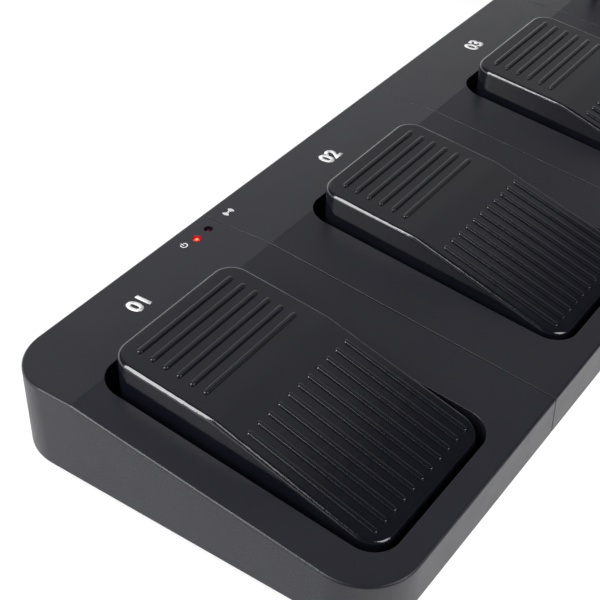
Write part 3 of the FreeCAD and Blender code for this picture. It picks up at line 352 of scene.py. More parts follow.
SWITCH_PLASTIC = Finish(
    "switch_plastic", colour=(0.020, 0.020, 0.022), shade=(0.032, 0.032, 0.034), patch=0.003,
    roughness=0.42, spread=0.05, grain=0.0005, depth=0.00003)
BUTTON_PLASTIC = Finish(
    "button_plastic", colour=(0.42, 0.035, 0.025), shade=(0.34, 0.025, 0.020), patch=0.003,
    roughness=0.38, spread=0.05, grain=0.0005, depth=0.00002)
KNOB_PLASTIC = Finish(
    "knob_plastic", colour=(0.016, 0.016, 0.017), shade=(0.026, 0.026, 0.028), patch=0.003,
    roughness=0.45, spread=0.05, grain=0.0004, depth=0.00003)
LEAD_SLEEVE = Finish(
    "lead_sleeve", colour=(0.022, 0.022, 0.024), shade=(0.034, 0.034, 0.036), patch=0.004,
    roughness=0.60, spread=0.06, grain=0.0007, depth=0.00003)
CAN_METAL = Finish(
    "can_metal", colour=(0.58, 0.58, 0.56), shade=(0.46, 0.46, 0.45), patch=0.004,
    roughness=0.34, spread=0.08, grain=0.0005, depth=0.00001, relief=Relief.DRAWN, metallic=1.0)
COPPER_WIRE = Finish(
    "copper_wire", colour=(0.55, 0.20, 0.08), shade=(0.42, 0.14, 0.05), patch=0.003,
    roughness=0.35, spread=0.06, grain=0.0004, depth=0.00001, relief=Relief.DRAWN, metallic=1.0)
BATTERY_CAN = Finish(
    "battery_can", colour=(0.40, 0.30, 0.09), shade=(0.33, 0.24, 0.07), patch=0.008,
    roughness=0.36, spread=0.05, grain=0.0008, depth=0.00002, relief=Relief.DRAWN, metallic=0.6)
PRINT = Finish(
    "print_ink", colour=(0.82, 0.82, 0.82), shade=(0.74, 0.74, 0.74), patch=0.002,
    roughness=0.45, spread=0.05, grain=0.0003, depth=0.00001)


class Dresser:
    """Makes each finish's material once and puts it on pieces."""

    def __init__(self) -> None:
        """Starts with no materials."""
        self.made: dict[str, bpy.types.Material] = {}

    def material(self, finish: Finish) -> bpy.types.Material:
        """The finish's material, made the first time it is asked for.

        Args:
            finish: the finish.

        Returns:
            Its material.
        """
        if finish.name not in self.made:
            self.made[finish.name] = finish.material()
        return self.made[finish.name]

    def dress(self, piece: bpy.types.Object, finish: Finish) -> None:
        """Gives every face of a piece one finish.

        Args:
            piece: the piece.
            finish: the finish.
        """
        material = self.material(finish)
        for slot in piece.material_slots:
            slot.link = "OBJECT"
            slot.material = material
        if not piece.material_slots:
            piece.data.materials.append(material)


DRESSER = Dresser()


def new_piece(name: str, mesh: bpy.types.Mesh) -> bpy.types.Object:
    """A piece at the frame's origin.

    Args:
        name: the piece's name.
        mesh: its mesh, already in place.

    Returns:
        The piece, in the scene.
    """
    piece = bpy.data.objects.new(name, mesh)
    bpy.context.scene.collection.objects.link(piece)
    return piece


def evaluated_mesh(piece: bpy.types.Object) -> bpy.types.Mesh:
    """The mesh that a piece has after its modifiers.

    Args:
        piece: the piece.

    Returns:
        A plain mesh.
    """
    bpy.context.view_layer.update()
    graph = bpy.context.evaluated_depsgraph_get()
    return bpy.data.meshes.new_from_object(piece.evaluated_get(graph), depsgraph=graph)


def merged(node: str) -> bmesh.types.BMesh:
    """A copy of a CAD node's mesh with its corners joined.

    Args:
        node: the node's name.

    Returns:
        The joined mesh.
    """
    source = frame["nodes"][node].data
    shape = bmesh.new()
    corners = [shape.verts.new(vertex.co) for vertex in source.vertices]
    for face in source.polygons:
        shape.faces.new([corners[index] for index in face.vertices])
    bmesh.ops.remove_doubles(shape, verts=shape.verts, dist=MERGE)
    return shape


def smooth_piece(name: str, shape: bmesh.types.BMesh, sharp: float) -> bpy.types.Object:
    """A piece with smooth shading that keeps flat faces flat and sharp edges sharp.

    Args:
        name: the piece's name.
        shape: its mesh, which is freed.
        sharp: the angle in degrees above which an edge stays sharp.

    Returns:
        The piece.
    """
    mesh = bpy.data.meshes.new(name)
    shape.to_mesh(mesh)
    shape.free()
    mesh.shade_smooth()
    mesh.set_sharp_from_angle(angle=math.radians(sharp))
    piece = new_piece(name, mesh)
    piece.modifiers.new("even", "WEIGHTED_NORMAL").keep_sharp = True
    piece.data = evaluated_mesh(piece)
    piece.modifiers.clear()
    return piece


def place(piece: bpy.types.Object, body: str, slot: str | None, finish: Finish,
          *nodes: str) -> bpy.types.Object:
    """Dresses a new piece and hangs it on its body.

    Args:
        piece: the piece.
        body: the CAD body that it moves with.
        slot: the record's material slot, if it has one for the piece; not used.
        finish: the piece's finish.
        nodes: the CAD nodes that it stands for.

    Returns:
        The piece.
    """
    DRESSER.dress(piece, finish)
    if nodes:
        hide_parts(*nodes)
    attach(piece, body)
    LOG.info("%s: %d faces, on %s", piece.name, len(piece.data.polygons), body)
    return piece


class RuleBuilder(NodeBuilder):
    """A Geometry Nodes tree with named inputs, which ends in one plain mesh."""

    def __init__(self, name: str) -> None:
        """Starts on a new tree.

        Args:
            name: the tree's name.
        """
        super().__init__(bpy.data.node_groups.new(name, "GeometryNodeTree"))
        self.tree.interface.new_socket("Geometry", in_out="INPUT", socket_type="NodeSocketGeometry")
        self.tree.interface.new_socket("Geometry", in_out="OUTPUT", socket_type="NodeSocketGeometry")
        self.group = self.add("NodeGroupInput")

    def size(self, name: str, kind: str = "NodeSocketFloat") -> bpy.types.NodeSocket:
        """A named input of the tree.

        Args:
            name: the input's name.
            kind: the kind of socket.

        Returns:
            The output of the group's input node.
        """
        self.tree.interface.new_socket(name, in_out="INPUT", socket_type=kind)
        return self.group.outputs[name]

    def math(self, operation: str, first: Any, second: Any = 0.0) -> bpy.types.NodeSocket:
        """The result of one sum.

        Args:
            operation: the kind of sum.
            first: the first number or output.
            second: the second number or output.

        Returns:
            The output with the result.
        """
        return self.add("ShaderNodeMath", {0: first, 1: second}, operation=operation).outputs[0]

    def close(self, geometry: bpy.types.NodeSocket) -> None:
        """Ends the tree with real geometry and a material.

        Args:
            geometry: the geometry that the tree has made.
        """
        material = self.size("Material", "NodeSocketMaterial")
        real = self.add("GeometryNodeRealizeInstances", {"Geometry": geometry})
        dressed = self.add("GeometryNodeSetMaterial", {"Geometry": real.outputs[0], "Material": material})
        self.add("NodeGroupOutput", {"Geometry": dressed.outputs[0]})

    def make(self, name: str, finish: Finish, sizes: dict[str, Any],
             start: bpy.types.Mesh | None = None) -> bpy.types.Object:
        """A piece made by the tree.

        Args:
            name: the piece's name.
            finish: the piece's finish.
            sizes: a value for each named input.
            start: the mesh that the tree starts from, if it needs one.

        Returns:
            The piece, with a plain mesh.
        """
        piece = new_piece(name, start or bpy.data.meshes.new(name))
        rule = piece.modifiers.new("rule", "NODES")
        rule.node_group = self.tree
        values = {**sizes, "Material": DRESSER.material(finish)}
        for item in self.tree.interface.items_tree:
            if item.in_out == "INPUT" and item.name in values:
                rule[item.identifier] = values[item.name]
        mesh = evaluated_mesh(piece)
        mesh.name = name
        piece.modifiers.clear()
        piece.data = mesh
        return piece


def rib_rule() -> RuleBuilder:
    """The tree that lays a row of round-ended ribs, each with a broad crest and round shoulders.

    Each rib is a ball that is pulled long: the rings near its middle go to the ends of the straight part,
    and the others make the round ends. Its lower half is flattened and goes down into the tread.

    Returns:
        The tree.
    """
    rule = RuleBuilder("rib_row")
    count = rule.size("Count", "NodeSocketInt")
    length = rule.size("Length")
    half_width = rule.size("Half Width")
    rise = rule.size("Rise")
    root = rule.size("Root")
    first = rule.size("First", "NodeSocketVector")
    step = rule.size("Step", "NodeSocketVector")
    along = rule.size("Along", "NodeSocketVector")
    normal = rule.size("Normal", "NodeSocketVector")
    ball = rule.add("GeometryNodeMeshUVSphere", {"Segments": RIB_SIDES, "Rings": RIB_RINGS, "Radius": 1.0})
    ring = math.pi / RIB_RINGS
    spot = rule.add("ShaderNodeSeparateXYZ", {0: rule.add("GeometryNodeInputPosition").outputs[0]})
    flat = rule.add("ShaderNodeCombineXYZ", {"X": spot.outputs["X"], "Y": spot.outputs["Y"]})
    way = rule.add("ShaderNodeSeparateXYZ", {
        0: rule.add("ShaderNodeVectorMath", {0: flat.outputs[0]}, operation="NORMALIZE").outputs[0]})
    rise_angle = rule.math("ARCSINE", rule.math("ABSOLUTE", spot.outputs["Z"]))
    beyond = rule.math("MAXIMUM", rule.math("SUBTRACT", rise_angle, RIB_STRAIGHT * ring), 0.0)
    past = rule.math("MULTIPLY", beyond, RIB_RINGS / (RIB_RINGS - 2 * RIB_STRAIGHT))
    girth = rule.math("COSINE", past)
    share = rule.math("MAXIMUM", rule.math("MULTIPLY", way.outputs["Y"], girth), 0.0)
    shoulder = rule.math("SQRT", rule.math("SUBTRACT", 2.0, rule.math("MULTIPLY", share, share)))
    crest = rule.math("MULTIPLY", rule.math("MULTIPLY", share, shoulder), rise)
    under = rule.math("MULTIPLY", rule.math("LESS_THAN", spot.outputs["Y"], -MERGE), root)
    near_end = rule.math("MULTIPLY", rule.math("LESS_THAN", rise_angle, (RIB_STRAIGHT - 0.5) * ring), root)
    half = rule.math("SUBTRACT", rule.math("MULTIPLY", length, 0.5), half_width)
    round_end = rule.math("MULTIPLY", rule.math("SINE", past), half_width)
    reach = rule.math("ADD", rule.math("SUBTRACT", half, near_end), round_end)
    end = rule.math("SUBTRACT", rule.math("GREATER_THAN", spot.outputs["Z"], MERGE),
                    rule.math("LESS_THAN", spot.outputs["Z"], -MERGE))
    put = rule.add("ShaderNodeCombineXYZ", {
        "X": rule.math("MULTIPLY", rule.math("MULTIPLY", way.outputs["X"], girth), half_width),
        "Y": rule.math("SUBTRACT", crest, under),
        "Z": rule.math("MULTIPLY", reach, end)})
    bar = rule.add("GeometryNodeSetPosition", {"Geometry": ball.outputs["Mesh"], "Position": put.outputs[0]})
    soft = rule.add("GeometryNodeSetShadeSmooth", {"Geometry": bar.outputs[0], "Shade Smooth": True})
    row = rule.add("GeometryNodeMeshLine", {"Count": count, "Start Location": first, "Offset": step},
                   mode="OFFSET")
    lie = rule.add("FunctionNodeAlignRotationToVector", {"Vector": along}, axis="Z")
    turn = rule.add("FunctionNodeAlignRotationToVector", {"Rotation": lie.outputs[0], "Vector": normal},
                    axis="Y", pivot_axis="Z")
    ribs = rule.add("GeometryNodeInstanceOnPoints", {"Points": row.outputs[0], "Instance": soft.outputs[0],
                                                     "Rotation": turn.outputs[0]})
    rule.close(ribs.outputs[0])
    return rule


def coil_rule() -> RuleBuilder:
    """The tree that winds a coil spring from its foot upwards.

    Returns:
        The tree.
    """
    rule = RuleBuilder("coil_spring")
    turns = rule.size("Turns")
    radius = rule.size("Radius")
    height = rule.size("Height")
    wire = rule.size("Wire Radius")
    foot = rule.size("Foot", "NodeSocketVector")
    spiral = rule.add("GeometryNodeCurveSpiral", {
        "Resolution": COIL_STEPS, "Rotations": turns, "Start Radius": radius, "End Radius": radius,
        "Height": height})
    ring = rule.add("GeometryNodeCurvePrimitiveCircle", {"Resolution": WIRE_SIDES, "Radius": wire})
    tube = rule.add("GeometryNodeCurveToMesh", {"Curve": spiral.outputs[0], "Profile Curve": ring.outputs[0],
                                                "Fill Caps": True})
    put = rule.add("GeometryNodeTransform", {"Geometry": tube.outputs[0], "Translation": foot})
    soft = rule.add("GeometryNodeSetShadeSmooth", {"Geometry": put.outputs[0], "Shade Smooth": True})
    rule.close(soft.outputs[0])
    return rule


def screw_rule() -> RuleBuilder:
    """The tree that puts a screw at each point, turned as it came to rest when it was driven in.

    Returns:
        The tree.
    """
    rule = RuleBuilder("screw_set")
    screw = rule.size("Screw", "NodeSocketObject")
    seed = rule.size("Seed", "NodeSocketInt")
    shape = rule.add("GeometryNodeObjectInfo", {"Object": screw})
    angle = rule.add("FunctionNodeRandomValue", {"Min": 0.0, "Max": math.tau, "Seed": seed},
                     data_type="FLOAT")
    value = next(s for s in angle.outputs if s.enabled)
    turn = rule.add("ShaderNodeCombineXYZ", {"Z": value})
    screws = rule.add("GeometryNodeInstanceOnPoints", {
        "Points": rule.group.outputs["Geometry"], "Instance": shape.outputs["Geometry"],
        "Rotation": turn.outputs[0]})
    rule.close(screws.outputs[0])
    return rule


def islands(shape: bmesh.types.BMesh) -> list[list[bmesh.types.BMVert]]:
    """The corners of each separate solid in a mesh.

    Args:
        shape: the mesh.

    Returns:
        One list of corners for each solid.
    """
    seen = set()
    found = []
    for start in shape.verts:
        if start in seen:
            continue
        group = [start]
        seen.add(start)
        for corner in group:
            for edge in corner.link_edges:
                other = edge.other_vert(corner)
                if other not in seen:
                    seen.add(other)
                    group.append(other)
        found.append(group)
    return found


def box_of(corners: Iterable[bmesh.types.BMVert]) -> tuple[Vector, Vector]:
    """The box round some corners.

    Args:
        corners: the corners.

    Returns:
        Its lowest and its highest corner.
    """
    columns = list(zip(*(corner.co for corner in corners)))
    return Vector(min(column) for column in columns), Vector(max(column) for column in columns)


def stroke(shape: bmesh.types.BMesh, points: list[Vector], width: float, thickness: float) -> None:
    """Adds a flat line of ink along some points.

    Args:
        shape: the mesh that gets the line.
        points: the line's middle, on the ink's upper face.
        width: the line's width.
        thickness: the ink's thickness.
    """
    pairs = []
    for number, point in enumerate(points):
        before = points[max(number - 1, 0)]
        after = points[min(number + 1, len(points) - 1)]
        way = (after - before).normalized()
        side = Vector((-way.y, way.x, 0.0)) * width / 2
        pairs.append((shape.verts.new(point + side), shape.verts.new(point - side)))
    faces = [shape.faces.new((a[1], b[1], b[0], a[0])) for a, b in zip(pairs, pairs[1:])]
    shape.normal_update()
    bmesh.ops.solidify(shape, geom=faces, thickness=thickness)


def arc(middle: Vector, radius: float, start: float, end: float, steps: int = 24) -> list[Vector]:
    """Points along a level arc.

    Args:
        middle: the arc's middle.
        radius: its radius.
        start: its first angle in degrees, from +X towards +Y.
        end: its last angle.
        steps: how many runs it has.

    Returns:
        The points.
    """
    angles = [math.radians(start + (end - start) * step / steps) for step in range(steps + 1)]
    return [middle + Vector((math.cos(a), math.sin(a), 0.0)) * radius for a in angles]


@dataclass
class Casing:
    """The row of four covers that join into one wedge."""

    covers: tuple[str, ...] = ("left_end_cover", "middle_cover_1", "middle_cover_2", "right_end_cover")
    sharp: float = 32.0
    seams: tuple[float, ...] = (-0.14, 0.0, 0.14)
    seam_half: float = 0.0002           # half of the gap between two covers
    seam_slack: float = 0.00002         # how far off its end face's plane a corner may lie
    seam_round: float = 0.0003          # how far a cover's outer edge at a seam is rounded off
    seam_steps: int = 3
    end_facing: float = 0.98            # the least X of an end face's normal
    top_facing: float = 0.5             # the least Z of the top skin's normal
    wall_reach: float = 0.0885          # the front and back walls' outer faces lie further out than this
    corner: float = 0.5                 # the least angle, in radians, that makes an edge a corner

    def at_seam(self, edge: bmesh.types.BMEdge) -> bool:
        """Whether an edge is the outer corner between a cover's skin and its end face at a seam.

        Args:
            edge: the edge.

        Returns:
            True for such an edge.
        """
        if len(edge.link_faces) != 2:
            return False
        near = all(any(abs(abs(vertex.co.x - seam) - self.seam_half) < self.seam_slack for seam in self.seams)
                   for vertex in edge.verts)
        skin = [face.normal for face in edge.link_faces if abs(face.normal.x) <= self.end_facing]
        if not near or len(skin) != 1 or edge.calc_face_angle_signed(0.0) < self.corner:
            return False
        y = (edge.verts[0].co.y + edge.verts[1].co.y) / 2
        return skin[0].z > self.top_facing or abs(y) > self.wall_reach and skin[0].y * y > 0.0

    def soften_seams(self, shape: bmesh.types.BMesh) -> None:
        """Rounds off a cover's outer edges at its seams.

        Args:
            shape: the cover's mesh.
        """
        shape.normal_update()
        edges = [edge for edge in shape.edges if self.at_seam(edge)]
        bmesh.ops.bevel(shape, geom=edges, offset=self.seam_round, offset_type="OFFSET",
                        segments=self.seam_steps, profile=0.5, affect="EDGES", clamp_overlap=False)

    def build(self) -> None:
        """Makes each cover as a smooth skin over the CAD cover."""
        for number, node in enumerate(self.covers, 1):
            shape = merged(node)
            self.soften_seams(shape)
            piece = smooth_piece(f"cover_{number}", shape, self.sharp)
            place(piece, "root", "case_plastic", CASE, node)


@dataclass
class Treadle:
    """One pedal: a polished hollow shell with its raised ribs."""

    number: int
    middle: float                       # the pedal's middle along the row
    back: float = 0.0485                # the tread's back edge
    top: float = 0.0517                 # its height
    flat_angle: float = 7.3             # how much the flat falls to the front, in degrees
    kink: float = -0.0024               # where the slope begins
    slope_angle: float = 17.6
    rib_half: float = 0.0012            # half of a rib's width at its foot
    rib_rise: float = 0.0009
    rib_root: float = 0.0003            # how far a rib goes down into the tread
    rib_sink: float = 0.00002           # how far its foot's edge lies under the tread
    flat_ribs: int = 6
    flat_first: float = 0.0084          # from the back edge to the first cross rib
    flat_pitch: float = 0.00642
    flat_length: float = 0.058
    slope_ribs: int = 11
    slope_pitch: float = 0.0063
    slope_back: float = -0.0140         # the ends of the long ribs
    slope_front: float = -0.0708
    sharp: float = 32.0
    rib_clearance: float = 0.00003      # a corner this far over the tread belongs to a rib

    @property
    def body(self) -> str:
        """The CAD body that the pedal moves with."""
        return f"pedal_body_{self.number}"

    def tread(self, y: float) -> float:
        """The tread's height at one place, with its kink taken as sharp.

        Args:
            y: the place, from front to back.

        Returns:
            The height over the floor.
        """
        flat = (self.back - max(y, self.kink)) * math.tan(math.radians(self.flat_angle))
        slope = max(self.kink - y, 0.0) * math.tan(math.radians(self.slope_angle))
        return self.top - flat - slope

    def shell(self) -> bpy.types.Object:
        """The pedal's shell, with the places of its ribs closed smoothly.

        Returns:
            The shell.
        """
        shape = merged(f"pedal_{self.number}")
        over = [v for v in shape.verts if v.co.z > self.tread(v.co.y) + self.rib_clearance]
        bmesh.ops.delete(shape, geom=over, context="VERTS")
        rims = [edge for edge in shape.edges if edge.is_boundary]
        bmesh.ops.holes_fill(shape, edges=rims, sides=0)
        return smooth_piece(f"pedal_shell_{self.number}", shape, self.sharp)

    def ribs(self, rule: RuleBuilder) -> list[bpy.types.Object]:
        """The cross ribs of the flat and the long ribs of the slope.

        Args:
            rule: the tree that lays a row of ribs.

        Returns:
            The two rows.
        """
        fall = math.radians(self.flat_angle)
        slope = math.radians(self.slope_angle)
        section = {"Half Width": self.rib_half, "Rise": self.rib_rise, "Root": self.rib_root}
        start = self.back - self.flat_first
        flat = rule.make(f"flat_ribs_{self.number}", PEDAL, {
            **section, "Count": self.flat_ribs, "Length": self.flat_length,
            "First": (self.middle, start, self.tread(start) - self.rib_sink),
            "Step": (0.0, -self.flat_pitch, -self.flat_pitch * math.tan(fall)),
            "Along": (1.0, 0.0, 0.0), "Normal": (0.0, -math.sin(fall), math.cos(fall))})
        middle = (self.slope_back + self.slope_front) / 2
        wide = (self.slope_ribs - 1) * self.slope_pitch
        length = (self.slope_back - self.slope_front) / math.cos(slope)
        long = rule.make(f"slope_ribs_{self.number}", PEDAL, {
            **section, "Count": self.slope_ribs, "Length": length,
            "First": (self.middle - wide / 2, middle, self.tread(middle) - self.rib_sink),
            "Step": (self.slope_pitch, 0.0, 0.0), "Along": (0.0, math.cos(slope), math.sin(slope)),
            "Normal": (0.0, -math.sin(slope), math.cos(slope))})
        return [flat, long]

    def build(self, rule: RuleBuilder) -> None:
        """Makes the shell and its ribs.

        Args:
            rule: the tree that lays a row of ribs.
        """
        place(self.shell(), self.body, "pedal_plastic", PEDAL, f"pedal_{self.number}")
        for row in self.ribs(rule):
            place(row, self.body, "pedal_plastic", PEDAL)


@dataclass
class ReturnSpring:
    """The coil under one pedal; it is built at one length and does not shorten as the pedal goes down."""

    number: int
    middle: float                       # the pedal's middle along the row
    back: float = 0.024
    foot: float = 0.008
    length: float = 0.022
    radius: float = 0.0054
    wire: float = 0.0006
    turns: float = 7.0
    end_gap: float = 0.00006            # between each end and what it stands on
    pressed: float = 0.71               # the share of its length that is left when the pedal is down

    def build(self, rule: RuleBuilder) -> None:
        """Winds the coil.

        Args:
            rule: the tree that winds a coil.
        """
        edge = self.wire + self.end_gap
        piece = rule.make(f"return_coil_{self.number}", SPRING_STEEL, {
            "Turns": self.turns, "Radius": self.radius, "Height": self.length - 2 * edge,
            "Wire Radius": self.wire, "Foot": (self.middle, self.back, self.foot + edge)})
        place(piece, "root", "spring_steel", SPRING_STEEL, f"return_spring_{self.number}")
        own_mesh(piece)


@dataclass
class Screws:
    """One set of equal screws, each turned as it came to rest."""

    node: str
    seed: int
    sharp: float = 32.0

    def build(self, rule: RuleBuilder) -> None:
        """Puts a copy of the set's first screw at the place of each.

        Args:
            rule: the tree that puts a screw at each point.
        """
        shape = merged(self.node)
        groups = islands(shape)
        spots = [(low + high) / 2 for low, high in map(box_of, groups)]
        bmesh.ops.delete(shape, geom=[corner for group in groups[1:] for corner in group], context="VERTS")
        bmesh.ops.translate(shape, vec=-spots[0], verts=shape.verts)
        screw = smooth_piece(self.node + "_first", shape, self.sharp)
        points = bpy.data.meshes.new(self.node + "_places")
        points.from_pydata(spots, [], [])
        piece = rule.make(self.node + "_set", BRIGHT_STEEL, {"Screw": screw, "Seed": self.seed}, points)
        bpy.data.objects.remove(screw)
        place(piece, "root", "bright_steel", BRIGHT_STEEL, self.node)


@dataclass
class Pads:
    """One set of round rubber pads: a row of feet, or the bumpers in the wells."""

    node: str
    sharp: float = 40.0

    def build(self) -> None:
        """Makes the set as a smooth skin over the CAD solids."""
        piece = smooth_piece(self.node + "_moulded", merged(self.node), self.sharp)
        place(piece, "root", "rubber", RUBBER, self.node)


@dataclass
class Print:
    """White ink on the level strip: a number behind each pedal and a sign beside each lamp."""

    strip: float = 0.039                # the strip's height
    ink: float = 0.00004
    number_height: float = 0.0084
    number_front: float = 0.0662
    number_shift: float = 0.004         # from a pedal's middle to its number's
    fattening: float = 0.00035
    sign_back: float = 0.0812
    power_x: float = -0.1630
    radio_x: float = -0.1315
    line: float = 0.00050
    ring: float = 0.00150
    ring_top: float = 90.0              # the middle of the gap in the power sign's ring, in degrees
    ring_gap: float = 38.0              # half of that gap
    bar: float = 1.3                    # the length of its bar, in radii of the ring
    waves: tuple[float, ...] = (0.0011, 0.0018, 0.0025)
    wave_half: float = 42.0             # half of the angle that a wave spans, in degrees

    def number(self, text: str, x: float) -> None:
        """One number.

        Args:
            text: its digits.
            x: the place of its middle along the row.
        """
        curve = bpy.data.curves.new("number", "FONT")
        curve.body = text
        curve.size = self.number_height
        curve.offset = self.fattening
        source = new_piece("number", curve)
        mesh = evaluated_mesh(source)
        bpy.data.objects.remove(source)
        shape = bmesh.new()
        shape.from_mesh(mesh)
        low, high = box_of(shape.verts)
        size = self.number_height / (high.y - low.y)
        bmesh.ops.translate(shape, vec=(-(low.x + high.x) / 2, -low.y, 0.0), verts=shape.verts)
        bmesh.ops.scale(shape, vec=(size, size, 1.0), verts=shape.verts)
        bmesh.ops.translate(shape, vec=(x, self.number_front, self.strip + self.ink), verts=shape.verts)
        bmesh.ops.solidify(shape, geom=shape.faces[:], thickness=self.ink)
        self.lay(f"number_{int(text)}", shape)

    def lay(self, name: str, shape: bmesh.types.BMesh) -> None:
        """Puts ink on the casing.

        Args:
            name: the piece's name.
            shape: its mesh, which is freed.
        """
        bmesh.ops.recalc_face_normals(shape, faces=shape.faces)
        mesh = bpy.data.meshes.new(name)
        shape.to_mesh(mesh)
        shape.free()
        place(new_piece(name, mesh), "root", None, PRINT)

    def build(self) -> None:
        """Prints the numbers and the two signs."""
        for number, x in enumerate(PEDAL_MIDDLES, 1):
            self.number(f"{number:02d}", x + self.number_shift)
        level = self.strip + self.ink
        power = bmesh.new()
        middle = Vector((self.power_x, self.sign_back, level))
        start, end = self.ring_top + self.ring_gap, self.ring_top + 360 - self.ring_gap
        stroke(power, arc(middle, self.ring, start, end), self.line, self.ink)
        stroke(power, [middle, middle + Vector((0.0, self.ring * self.bar, 0.0))], self.line, self.ink)
        self.lay("power_sign", power)
        radio = bmesh.new()
        middle = Vector((self.radio_x, self.sign_back, level))
        stroke(radio, arc(middle, self.line / 2, 0, 360), self.line, self.ink)
        for radius in self.waves:
            for side in (0, 180):
                wave = arc(middle, radius, side - self.wave_half, side + self.wave_half)
                stroke(radio, wave, self.line, self.ink)
        self.lay("radio_sign", radio)


@dataclass(frozen=True)
class Softbox:
    """A soft light that looks at the object."""

    name: str
    azimuth: float                      # its direction in degrees, from +X towards +Y
    elevation: float                    # its height in degrees above the horizon
    far: float                          # its distance from the object
    wide: float
    high: float
    power: float                        # in watts

    def build(self) -> None:
        """Hangs the light."""
        data = bpy.data.lights.new(self.name, "AREA")
        data.shape = "RECTANGLE"
        data.size, data.size_y = self.wide, self.high
        data.energy = self.power
        lamp = bpy.data.objects.new(self.name, data)
        a, e = math.radians(self.azimuth), math.radians(self.elevation)
        away = Vector((math.cos(a) * math.cos(e), math.sin(a) * math.cos(e), math.sin(e)))
        lamp.location = away * self.far
        lamp.rotation_euler = away.to_track_quat("Z", "Y").to_euler()
        bpy.context.scene.collection.objects.link(lamp)


@dataclass
class Studio:
    """The floor, the light and the camera."""

    lens: float = 77.23
    eye: Triple = (-0.50385, -0.22813, 0.37019)     # where the camera stands; its axes follow
    right: Triple = (0.58169375, -0.8133736, -0.00746826)
    up: Triple = (0.50842522, 0.3564088, 0.78388555)
    ahead: Triple = (0.63493006, 0.45977838, -0.62086042)
    clip: Span = (0.01, 50.0)
    floor_half: float = 6.0
    floor_drop: float = 0.0002          # how far the floor lies under the feet
    fibre: float = 0.004                # the size of the paper's fibres
    paper: Span = (0.32, 0.36)          # between which greys the paper lies
    glow_floor: float = 0.70            # the light that the floor gives off everywhere
    painted_front_glow: float = 0.40            # and the painted pool of light added to it in front of the object, which washes out the object's shadow there
    glow: Span = (-0.092, -0.075)       # between which y the painted pool of light fades out
    horizon: Span = (0.15, 1.8)         # how bright the sky is low down, in front and at the back
    front: float = 0.03                 # how bright it is high up in front
    back: Span = (0.40, 0.64)           # and high up over the object and behind it
    turn_low: Span = (-0.3, 0.6)        # low down, the y of the direction between which it changes
    turn_front: Span = (-0.12, -0.035)  # high up, from in front to over the object
    turn_back: Span = (0.33, 0.50)      # and from there to behind it
    rise: Span = (0.08, 0.50)           # the z of the direction between which low goes over to high
    dim: Span = (0.10, 0.50)            # the x between which the high part comes up to its full brightness
    dim_share: float = 0.15             # the share of it that is there before that
    lights: tuple[Softbox, ...] = (
        Softbox("back_left_softbox", azimuth=152.0, elevation=38.0, far=2.0, wide=0.62, high=1.9, power=44.0),
        Softbox("left_strip", azimuth=182.0, elevation=58.0, far=2.2, wide=0.4, high=0.9, power=5.0),
        Softbox("front_fill", azimuth=-80.0, elevation=36.0, far=2.4, wide=1.1, high=1.1, power=26.0))

    def camera(self) -> None:
        """The camera where the photographer stood."""
        data = bpy.data.cameras.new("camera")
        data.lens = self.lens
        data.clip_start, data.clip_end = self.clip
        camera = bpy.data.objects.new("camera", data)
        axes = Matrix([self.right, self.up, [-a for a in self.ahead]]).transposed()
        camera.matrix_world = Matrix.Translation(self.eye) @ axes.to_4x4()
        bpy.context.scene.collection.objects.link(camera)
        bpy.context.scene.camera = camera

    def floor(self) -> None:
        """A pale floor of lit paper that gives off light, with a painted pool of light in front of the object
        that washes out its shadow there.
        """
        shape = bmesh.new()
        bmesh.ops.create_grid(shape, x_segments=1, y_segments=1, size=self.floor_half)
        mesh = bpy.data.meshes.new("floor")
        shape.to_mesh(mesh)
        shape.free()
        floor = new_piece("floor", mesh)
        floor.location.z = -self.floor_drop
        shader = ShaderBuilder("floor_paper")
        fibres = shader.spread(shader.noise(self.fibre), *self.paper)
        tone = shader.add("ShaderNodeCombineColor", {0: fibres, 1: fibres, 2: fibres})
        paper = shader.add("ShaderNodeBsdfDiffuse", {"Color": tone.outputs[0]})
        y = shader.add("ShaderNodeSeparateXYZ", {0: shader.places.outputs["Object"]}).outputs["Y"]
        # painted light: the floor glows brighter in front of the object, which washes out the object's shadow
        # there
        lit = shader.add("ShaderNodeEmission", {
            "Strength": shader.spread(y, self.glow_floor + self.painted_front_glow, self.glow_floor, *self.glow)})
        both = shader.add("ShaderNodeAddShader", {0: paper.outputs[0], 1: lit.outputs[0]})
        floor.data.materials.append(shader.finish(both.outputs[0]))

    def world(self) -> None:
        """Light from all round, brightest low down at the back, which the camera itself sees as white."""
        world = bpy.data.worlds.new("studio")
        bpy.context.scene.world = world
        world.use_nodes = True
        nodes = NodeBuilder(world.node_tree)
        nodes.tree.nodes.clear()
        path = nodes.add("ShaderNodeLightPath")
        way = nodes.add("ShaderNodeSeparateXYZ", {0: nodes.add("ShaderNodeTexCoord").outputs["Generated"]})

        def shade(axis: str, span: Span, low: Any, high: Any) -> bpy.types.NodeSocket:
            """A smooth change between two values along one axis of the direction."""
            return nodes.add("ShaderNodeMapRange", {
                "Value": way.outputs[axis], "From Min": span[0], "From Max": span[1],
                "To Min": low, "To Max": high}, interpolation_type="SMOOTHSTEP").outputs[0]

        over = shade("Y", self.turn_front, self.front, shade("Y", self.turn_back, *self.back))
        high = nodes.add("ShaderNodeMath", {0: over, 1: shade("X", self.dim, self.dim_share, 1.0)},
                         operation="MULTIPLY")
        sky = shade("Z", self.rise, shade("Y", self.turn_low, *self.horizon), high.outputs[0])
        even = nodes.add("ShaderNodeBackground", {"Color": (1.0, 1.0, 1.0, 1.0), "Strength": sky})
        white = nodes.add("ShaderNodeBackground", {"Color": (1.0, 1.0, 1.0, 1.0), "Strength": 1.0})
        mix = nodes.add("ShaderNodeMixShader", {0: path.outputs["Is Camera Ray"], 1: even.outputs[0],
                                                2: white.outputs[0]})
        nodes.add("ShaderNodeOutputWorld", {"Surface": mix.outputs[0]})

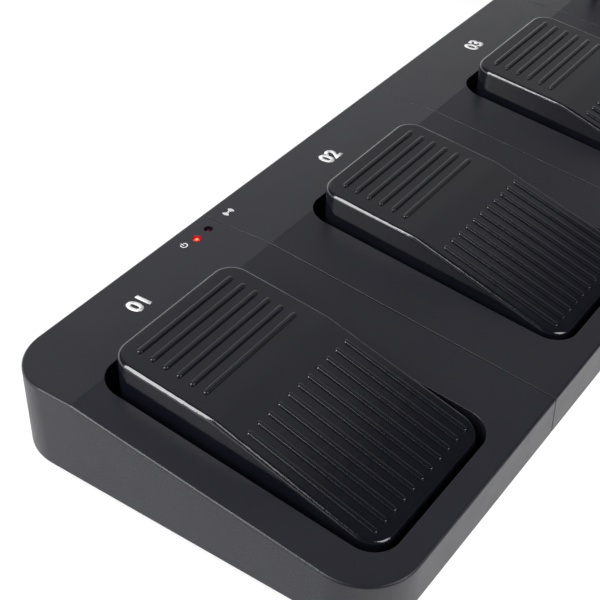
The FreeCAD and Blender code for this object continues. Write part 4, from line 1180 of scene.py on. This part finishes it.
    def build(self) -> None:
        """Sets up the studio."""
        scene = bpy.context.scene
        scene.view_settings.view_transform = "Standard"
        self.floor()
        self.world()
        for light in self.lights:
            light.build()
        self.camera()


def dress_nodes() -> None:
    """Gives each CAD node that is still shown the finish of its material slot."""
    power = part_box("power_lamp")
    middle = Vector(((power[0].x + power[1].x) / 2, (power[0].y + power[1].y) / 2, power[1].z))
    finishes = {finish.name: finish for finish in (
        CASE, PEDAL, BLACK_STEEL, BRIGHT_STEEL, SPRING_STEEL, RUBBER, MASK, SWITCH_PLASTIC, BUTTON_PLASTIC,
        KNOB_PLASTIC, LEAD_SLEEVE, CAN_METAL, COPPER_WIRE, BATTERY_CAN)}
    finishes["red_lamp"] = LampFinish(
        "red_lamp", colour=(0.55, 0.01, 0.008), shade=(0.90, 0.0028, 0.0012), patch=0.001,
        roughness=0.25, spread=0.03, grain=0.0005, depth=0.0, middle=middle, glow=28.0)
    finishes["dark_lamp"] = Finish(
        "dark_lamp", colour=(0.070, 0.004, 0.004), shade=(0.055, 0.003, 0.003), patch=0.001,
        roughness=0.25, spread=0.03, grain=0.0006, depth=0.00001, relief=Relief.POLISHED)
    slots = {row["node"]: row["material_slot"] for row in frame["record"]["subparts"]}
    for name, node in frame["nodes"].items():
        if not node.hide_render:
            DRESSER.dress(node, finishes[slots[name]])
            LOG.info("%s: dressed as %s", name, slots[name])


def main() -> None:
    """Builds the piece classes in order and reports each piece."""
    logging.basicConfig(level=logging.INFO, format="%(name)s: %(message)s")
    Casing().build()
    ribs = rib_rule()
    coils = coil_rule()
    for number, x in enumerate(PEDAL_MIDDLES, 1):
        Treadle(number, x).build(ribs)
        ReturnSpring(number, x).build(coils)
    screws = screw_rule()
    sets = ("cover_screws", "battery_bay_screws", "switch_board_screws", "main_board_screws")
    for seed, node in enumerate(sets):
        Screws(node, seed).build(screws)
    for node in ("rear_feet", "front_feet", "stop_bumpers"):
        Pads(node).build()
    Print().build()
    dress_nodes()
    Studio().build()


if __name__ == "__main__":
    main()
